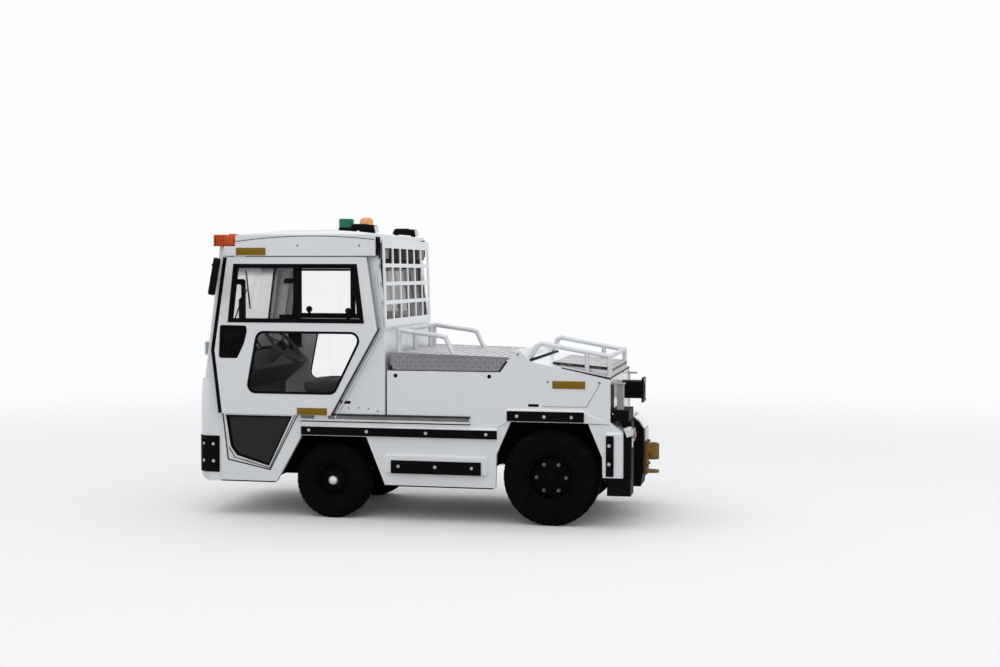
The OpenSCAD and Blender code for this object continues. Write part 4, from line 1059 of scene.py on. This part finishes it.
def lozenge():
    bm = shape()
    long, wide, high = deck["lozenge"]
    bmesh.ops.create_cube(bm, size=1, matrix=Matrix.Diagonal((long / 1000, wide / 1000, high / 1000, 1)))
    for v in bm.verts:
        if v.co.z > 0:
            v.co.x *= 0.72
            v.co.y *= 0.42
    bmesh.ops.translate(bm, verts=bm.verts, vec=(0, 0, high / 2200))
    return bm


# Lozenges over a flat area, turned to and fro; inside says whether a point lies on it
def lozengeField(plane, width, height, inside=lambda x, y: True):
    one, pitch, parts = lozenge(), deck["pitch"] / math.sqrt(2), []
    for i in range(int(width / pitch)):
        for j in range(int(height / pitch)):
            x, y = (i + 0.5) * pitch, (j + 0.5) * pitch
            if x < width - 12 and y < height - 10 and inside(x, y):
                turn = Matrix.Rotation(math.radians(45 if (i + j) % 2 else -45), 4, "Z")
                parts.append((one, plane @ shift(x, y) @ turn))
    return parts


# Height of the battery cover's upper face
def coverTop(x):
    return deck["low"] + (deck["high"] - deck["low"]) / (deck["front"] - deck["rear"]) * (x - deck["rear"])


def dressDeck():
    parts, long, tall = [], deck["front"] - deck["rear"], deck["high"] - deck["skirt"]
    for side in bothSides:
        corner = (deck["rear"], side * deck["sideFace"], deck["skirt"])
        plane = planeAt(corner, (1, 0, 0), (0, 0, 1), (0, side, 0))

        def onPlate(x, y):
            edge = 18 + max(0, (tall - 22 - y) * 0.78)
            return x > edge and y < tall - 16 - (long - x) * 0.022
        parts += lozengeField(plane, long, tall, onPlate)
    # the side plates' lozenges take the darker metal: painted shade
    finishPiece("cover_lozenges", parts, "battery_cover", shadedSideMetal)


# The rear deck's slope, as in the hood below it: height and place of its two ends
hood = {"rear": -397, "front": 150, "low": 1022, "high": 1140}


def hoodTop(x):
    return hood["low"] + (hood["high"] - hood["low"]) / (hood["front"] - hood["rear"]) * (x - hood["rear"])


# The inner platform stands on the outer plate
tiers = {"rear": -404, "front": -70, "outerEdge": 613.1, "innerEdge": 436.1, "back": -404.2, "edgeThick": 1.2,
         "innerSide": [(-400, 1070), (16, 1108), (16, 1127), (-398, 1092)],
         "posts": [(176, 455, 0), (-226, 455, 11), (-384, 455, 14)],
         # a black strip of painted shadow at the foot of the hump's rear slope
         "seal": [(138, hoodTop(138) + 0.4), (146, hoodTop(146) + 0.4), (157, 1150), (152, 1155)],
         "gapShadowLong": 1208, "gapShadowEnd": 0.604}


def dressRearDeck():
    def sloping(long, high):
        along = Vector((long, 0, high)).normalized()
        return along, Vector((-along.z, 0, along.x))
    rear, front = tiers["rear"], tiers["front"]
    parts = lozengeField(planeAt((-398, -432, 1093.4), (0, 1, 0), *sloping(414, 35)), 864, 414)
    for side in bothSides:
        slope = sloping(front - rear, hoodTop(front) - hoodTop(rear) - 6)
        plane = planeAt((-402, side * 474, hoodTop(-402) + 14.2), (0, side, 0), *slope)
        parts += lozengeField(plane, 134, 330)
        upright = planeAt((-398, side * 432, 1040), (1, 0, 0), (0.085, 0, 0.996), (0, side, 0))
        parts += lozengeField(upright, 400, 58, lambda x, y: y > (x - 20) * 0.2 - 20)
    parts += lozengeField(facing(tiers["back"], -430, 1032, -1), 860, 58)
    finishPiece("rear_deck_lozenges", parts, "chassis", plateMetal)
    # near black edges of the two tiers, at their sides and at the rear: painted shade on these faces, with
    # pale dust
    edges, thick, back = [], tiers["edgeThick"], tiers["back"]
    low, high = hoodTop(rear), hoodTop(front)
    outline = [(rear, low), (front, high), (front, high + 8), (rear, low + 14)]
    for side in bothSides:
        edges += [sideSlab(outline, tiers["outerEdge"], thick, side),
                  sideSlab(tiers["innerSide"], tiers["innerEdge"], thick, side)]
    edges += [block((back, -613, low + 1), (back - thick, 613, low + 13)),
              block((back, -434, 1066), (back - thick, 434, 1087))]
    finishPiece("deck_edges", edges, "chassis", edgeShadeAndDust)
    foot = turned(deck["railFoot"], 28)
    feet = [(foot, Matrix.Translation(at(x, side * y, hoodTop(x) + up)))
            for side in bothSides for x, y, up in tiers["posts"]]
    finishPiece("rear_rail_feet", feet, "chassis", railMetal)
    # black strip at the foot of the hump's rear slope: painted shadow of the gap there
    seal = slab([(x - axleToOrigin, z) for x, z in tiers["seal"]], tiers["gapShadowLong"], 1.5)
    across = Matrix(((1, 0, 0, 0), (0, 0, -1, tiers["gapShadowEnd"]), (0, 1, 0, 0), (0, 0, 0, 1)))
    finishPiece("hump_gap_shadow", [(seal, across)], "chassis", blackRubber)
    feet = [(foot, Matrix.Translation(at(x, y, coverTop(x)))) for x, y in deck["railPosts"]]
    finishPiece("deck_rail_feet", feet, "battery_cover", railMetal)


dressDeck()
dressRearDeck()
print("decks done")


# Rear end: lamps, plates, bolts, hitch fittings and the charging inlet's contacts

rearEnd = {
    "lampBox": ((-512, 590, 634), (-558, 634, 700)), "lampMiddle": (-534, 0, 667), "lampTurn": 20,
    "reversing": (-558, 612, 667), "postFoot": ((-494, 516, 984), (-449, 583, 988)),
    "stepEdge": ((-556, 584, 560), (-564, 602, 622)), "screws": [(-425, 786), (-462, 690)],
    "hitchPlate": ((-590.4, -100, 547), (-603, 100, 637)),
    "cover": (-502, 0, 737), "coverSlope": (89, 116),
    "coverScrews": [(-60, 30), (-60, -20), (60, 30), (60, -20)],
    # the recess is a black sheet of painted shade
    "boxBolts": [(-420, 300), (-500, 300)], "recess": ((-411.3, 430, 742), (-412.8, 604, 982)),
    "tailLamps": [(-553, 535, 640), (-500, -535, 600)], "tailLenses": (-28, 28),
    "tailLens": [(24, 12), (24, 19), (24 * 0.7, 22), (0, 23)],
}


def dressRearEnd():
    facts, middle = rearEnd, at(*rearEnd["lampMiddle"])
    # boxed lamp beside the step, tilted, with a short lens
    tilted = Matrix.Translation(middle) @ Matrix.Rotation(math.radians(facts["lampTurn"]), 4, "Y")
    tilted = tilted @ Matrix.Translation(-middle)
    parts = [(block(*facts["lampBox"], 3), tilted)]
    parts += [block(*facts["postFoot"], 1, 1), block(*facts["stepEdge"], 2)]
    parts += spread(dome(6, 4), facts["screws"], 600, 1) + [block(*facts["hitchPlate"], 3)]
    finishPiece("rear_fittings", parts, "chassis", bareAluminium)
    # screws through the sloping cover, bolts of the boxes, and a black sheet of painted shade in the recess
    # between the side's rear edge and the post
    tilt = math.atan2(*facts["coverSlope"])
    sine, cosine = math.sin(tilt), math.cos(tilt)
    plane = planeAt(facts["cover"], (0, 1, 0), (cosine, 0, sine), (-sine, 0, cosine))
    parts = [(dome(9, 4), plane @ shift(y, up, 8)) for y, up in facts["coverScrews"]]
    for side in bothSides:
        parts += spread(hexBolt(19, 9), facts["boxBolts"], 640, side)
    # black sheet in the recess: painted shade
    parts.append(block(*facts["recess"]))
    finishPiece("rear_dark_fittings_and_recess_shade", parts, "chassis", blackPaint)
    lenses, rims = [], []
    for place in facts["tailLamps"]:
        plane = facing(*place, -1)
        rims.append((slab(roundedBox(118, 88, 10), 14, 3), plane))
        lenses += [(turned(facts["tailLens"], 32), plane @ shift(y, 0)) for y in facts["tailLenses"]]
    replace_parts(finishPiece("tail_lamp_lenses", lenses, "chassis", redLens), "tail_lamps")
    finishPiece("tail_lamp_housings", rims, "chassis", greyPaint)
    reversing = [(slab(roundedBox(38, 50, 6), 6, 2), tilted @ facing(*facts["reversing"], -1))]
    finishPiece("reversing_lens", reversing, "chassis", lampLens)


# Contacts are y, z and radius from the socket's middle
inlet = {"socket": (-468, -225, 892), "floor": [(0, 4), (34, 4), (34, 0), (0, 0)],
         "contacts": [(-15, 6, 7), (15, 6, 7), (0, -16, 4), (-9, -18, 3), (9, -18, 3)],
         "flange": (-560, -225, 890), "bolts": (62, 76),
         "pin": [(-562, -187, 892), (-566, -187, 892), (-566, -187, 893)]}


def dressInlet():
    plane = facing(*inlet["socket"], -1)
    parts = [(turned(inlet["floor"], 32), plane)]
    for y, z, radius in inlet["contacts"]:
        contact = turned([(radius, 0), (radius, 50), (radius * 0.6, 54), (0, 54)], 16)
        parts.append((contact, plane @ shift(y, z, 4)))
    finishPiece("inlet_contacts", parts, "chassis", brightSteel)
    plane, (wide, high) = facing(*inlet["flange"], -1), inlet["bolts"]
    parts = [(hexBolt(13, 6), plane @ shift(y, z)) for y in (-wide, wide) for z in (-high, high)]
    finishPiece("inlet_bolts", parts + [bar(inlet["pin"], 2)], "chassis", brightSteel)


hitch = {"face": (-610, 0, 423), "bolts": [(-52, 110), (52, 110), (-56, -52), (56, -52)], "boss": (-636, 438),
         "bossShape": [(24, 0), (24, 5), (14, 9), (0, 9)], "bossFace": 46, "guide": (-650, 0, 520)}


def dressHitch():
    plane = facing(*hitch["face"], -1)
    parts = [(hexBolt(19, 10), plane @ shift(y, z)) for y, z in hitch["bolts"]]
    # side boss of the upper block, and the guide of its pin
    for side in bothSides:
        parts += spread(turned(hitch["bossShape"], 24), [hitch["boss"]], hitch["bossFace"], side)
    parts.append((flatDisc(26, 14.5, 6), Matrix.Translation(at(*hitch["guide"]))))
    finishPiece("hitch_bolts", parts, "chassis", hitchMetal)


dressRearEnd()
dressInlet()
dressHitch()
print("rear end done")


# Inside: padded seat, wheel boss, dashboard instruments, pedals and levers

seat = {"y": 240, "half": 218, "voxel": 0.0055, "pressure": 4.0, "frames": 20, "cap": 0.016,
        "rolls": [(1424, 1560, 878, 952), (1572, 1706, 878, 954), (1718, 1846, 876, 958)],
        "backRolls": [(880, 1020), (1032, 1172), (1184, 1320)], "hinge": (1350, 0, 870), "lean": -4.9}


# Swells a closed shape like a stuffed cover: even mesh, cloth with pressure, a cap on how far a point moves
def stuffed(name, bm, nodeName):
    piece = finishPiece(name, [bm], "chassis", seatCloth, 180)
    remesh = piece.modifiers.new("even", "REMESH")
    remesh.mode = "VOXEL"
    remesh.voxel_size = seat["voxel"]
    graph = bpy.context.evaluated_depsgraph_get()
    even = bpy.data.meshes.new_from_object(piece.evaluated_get(graph))
    piece.modifiers.clear()
    rest = [v.co.copy() for v in even.vertices]
    piece.data = even
    cloth = piece.modifiers.new("stuffing", "CLOTH")
    cloth.settings.use_pressure = True
    cloth.settings.uniform_pressure_force = seat["pressure"]
    cloth.settings.effector_weights.gravity = 0
    cloth.settings.quality = 5
    for frameNumber in range(1, seat["frames"] + 1):
        bpy.context.scene.frame_set(frameNumber)
    graph = bpy.context.evaluated_depsgraph_get()
    swollen = bpy.data.meshes.new_from_object(piece.evaluated_get(graph))
    for vertex, start in zip(swollen.vertices, rest):
        move = vertex.co - start
        if move.length > seat["cap"]:
            vertex.co = start + move.normalized() * seat["cap"]
    piece.modifiers.clear()
    piece.data = swollen
    bpy.context.scene.frame_set(1)
    for polygon in piece.data.polygons:
        polygon.use_smooth = True
    finer = piece.modifiers.new("finer", "SUBSURF")
    finer.levels = finer.render_levels = 1
    if not piece.data.materials:
        piece.data.materials.append(seatCloth)
    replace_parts(piece, nodeName)
    return piece


def makeSeat():
    y, half = seat["y"], seat["half"]
    # cushion: a middle panel in three rolls, with a bolster on each side and a panel below
    parts = [block((x0, y - 130, z0), (x1, y + 130, z1), 20, 3) for x0, x1, z0, z1 in seat["rolls"]]
    parts += [block((1424, y + side * 136, 878), (1846, y + side * (half - 4), 962), 24, 4)
              for side in bothSides]
    parts.append(block((1430, y - 200, 874), (1840, y + 200, 912), 12, 2))
    stuffed("seat_cushion_cover", joined(parts), "seat_cushion")
    # back: rolls up the middle, a headrest and bolsters, leaning to the rear
    parts = [block((1308, y - 120, z0), (1380, y + 120, z1), 22, 3) for z0, z1 in seat["backRolls"]]
    parts.append(block((1310, y - 150, 1332), (1376, y + 150, 1474), 26, 4))
    parts += [block((1310, y + side * 126, 884), (1388, y + side * 212, 1320), 26, 4) for side in bothSides]
    parts.append(block((1306, y - 190, 884), (1346, y + 190, 1310), 14, 2))
    back, hinge = joined(parts), at(*seat["hinge"])
    lean = Matrix.Rotation(math.radians(seat["lean"]), 4, "Y")
    back.transform(Matrix.Translation(hinge) @ lean @ Matrix.Translation(-hinge))
    stuffed("seat_back_cover", back, "seat_back")


column = {"top": (2068, 240, 1216), "boss": [(0, 16), (24, 15), (36, 10), (42, 2), (42, -30), (0, -30)],
          "shroud": [(0, -46), (38, -46), (44, -56), (40, -150), (0, -150)], "stalk": (0.15, 0.02, -0.06)}
panel = {"place": (2300, 240, 1166), "gauges": (-90, 90), "up": 30, "switches": 7,
         "tray": ((2160, -470, 1158), (2330, -330, 1166))}
# Pedals are y, width and height; the lever is a bar with a knob
controls = {"pedals": [(150, 62, 470), (290, 84, 500)],
            "lever": [(1620, 5, 640), (1640, 5, 800), (1690, 5, 900)],
            "knob": [(0, 0), (14, 4), (18, 18), (14, 34), (0, 38)], "knobPlace": (1690, 5, 888)}


# Plane across the vehicle whose top leans ahead by 30 degrees
def desk(x, y, z):
    return planeAt((x, y, z), (0, 1, 0), (0.5, 0, 0.866), (-0.866, 0, 0.5))


def dressInside():
    half = math.sqrt(0.5)
    wheelPlane = planeAt(column["top"], (0, 1, 0), (half, 0, half), Vector((-half, 0, half)))
    boss = [(turned(column["boss"], 40), wheelPlane)]
    finishPiece("steering_boss", boss, "steering_wheel", blackPlastic)
    parts = [(turned(column["shroud"], 32), wheelPlane)]
    reach, up, down = column["stalk"]
    for side in bothSides:
        end = wheelPlane @ Vector((side * reach, up, down))
        start = wheelPlane @ Vector((side * 0.03, 0, -0.07))
        points = [(p.x * 1000 + axleToOrigin, p.y * 1000, p.z * 1000)
                  for p in (start, (start + end) / 2, end)]
        parts.append(bar(points, 6))
    finishPiece("column_shroud", parts, "chassis", greyPlastic)
    # instrument panel on the dashboard's top: two round gauges, lamps and a row of switches
    plane, up = desk(*panel["place"]), panel["up"]
    parts = [(slab(roundedBox(330, 100, 18), 30, 6), plane @ shift(0, up, -20))]
    parts += [(flatDisc(40, 34, 6), plane @ shift(y, up, 10)) for y in panel["gauges"]]
    for i in range(panel["switches"]):
        parts.append(block((2330, -90 - 42 * i, 1160), (2362, -62 - 42 * i, 1176), 3, 2))
    parts.append(block(*panel["tray"], 4, 1))
    finishPiece("instrument_panel", parts, "chassis", blackPlastic)
    parts = [(turned([(33, 0), (33, 1), (0, 1)], 32), plane @ shift(y, up, 10.5)) for y in panel["gauges"]]
    parts.append((slab(roundedBox(80, 44, 5), 1.5), plane @ shift(0, up, 10.2)))
    finishPiece("instrument_faces", parts, "chassis", dialFace)
    # pedals on arms from the dashboard, a hand lever beside the seat
    parts = []
    for y, wide, z in controls["pedals"]:
        tilt, rib = desk(2262, y, z), slab(roundedBox(wide - 14, 6, 2), 3)
        parts.append(bar([(2342, y, 700), (2300, y, 640), (2268, y, z)], 8))
        parts.append((slab(roundedBox(wide, 74, 8), 12, 3), tilt))
        parts += [(rib, tilt @ shift(0, (i - 1.5) * 16, 12)) for i in range(4)]
    knob = (turned(controls["knob"], 24), Matrix.Translation(at(*controls["knobPlace"])))
    parts += [bar(controls["lever"], 10), knob]
    finishPiece("pedals_and_lever", parts, "chassis", blackPlastic)


makeSeat()
dressInside()
print("inside done")


# Floor and light, with a white surround for what looks or reflects past the object

light = {
    "world": 0.86, "sky": (0.97, 0.985, 1.0), "aim": (0, 0, 0.8),
    "lamps": [("overhead", (0.5, 1.5, 8.0), 9.0, 150), ("side", (-3.0, 9.0, 4.5), 6.0, 40),
              ("rear", (-7.0, 0.0, 4.0), 5.0, 25)],
}


def lightScene():
    world = bpy.data.worlds.new("surround")
    bpy.context.scene.world = world
    world.use_nodes = True
    tree = world.node_tree
    tree.nodes.clear()
    rays = tree.nodes.new("ShaderNodeLightPath")
    seen, through = tree.nodes.new("ShaderNodeMath"), tree.nodes.new("ShaderNodeMath")
    seen.operation = through.operation = "MAXIMUM"
    tree.links.new(rays.outputs["Is Camera Ray"], seen.inputs[0])
    tree.links.new(rays.outputs["Is Glossy Ray"], through.inputs[0])
    tree.links.new(rays.outputs["Is Transmission Ray"], through.inputs[1])
    tree.links.new(through.outputs[0], seen.inputs[1])
    strength = tree.nodes.new("ShaderNodeMapRange")
    strength.inputs["To Min"].default_value = light["world"]
    strength.inputs["To Max"].default_value = 1.0
    tree.links.new(seen.outputs[0], strength.inputs["Value"])
    back = tree.nodes.new("ShaderNodeBackground")
    back.inputs["Color"].default_value = rgb(*light["sky"])
    tree.links.new(strength.outputs[0], back.inputs["Strength"])
    out = tree.nodes.new("ShaderNodeOutputWorld")
    tree.links.new(back.outputs[0], out.inputs["Surface"])
    for name, place, size, power in light["lamps"]:
        data = bpy.data.lights.new(name, "AREA")
        data.size = size
        data.energy = power
        lamp = bpy.data.objects.new(name, data)
        lamp.location = place
        lamp.rotation_euler = (Vector(light["aim"]) - Vector(place)).to_track_quat("-Z", "Y").to_euler()
        bpy.context.scene.collection.objects.link(lamp)


def layFloor():
    bm = shape()
    bmesh.ops.create_grid(bm, x_segments=1, y_segments=1, size=30)
    mesh = bpy.data.meshes.new("floor")
    bm.to_mesh(mesh)
    bm.free()
    floor = bpy.data.objects.new("floor", mesh)
    bpy.context.scene.collection.objects.link(floor)
    shader = Shader("pale floor")
    reach = shader.node("ShaderNodeVectorMath", {"operation": "LENGTH"}, {"Vector": shader.place}, "Value")
    pale = shader.mix(shader.noise(3.0, 4) * 0.15, rgb(0.9, 0.9, 0.9), rgb(0.84, 0.84, 0.84))
    rays = [shader.node("ShaderNodeLightPath", {}, {}, f"Is {kind} Ray")
            for kind in ("Camera", "Glossy", "Transmission")]
    seen = (rays[0] + rays[1] + rays[2]).clamp()
    shader.done(Base_Color=shader.mix(seen, rgb(0.32, 0.32, 0.32), pale), Roughness=0.95,
                Specular_IOR_Level=0.1, Alpha=1 - reach.step(3.5, 12.0) * seen)
    mesh.materials.append(shader.material)


lightScene()
layFloor()
print("floor and light done")
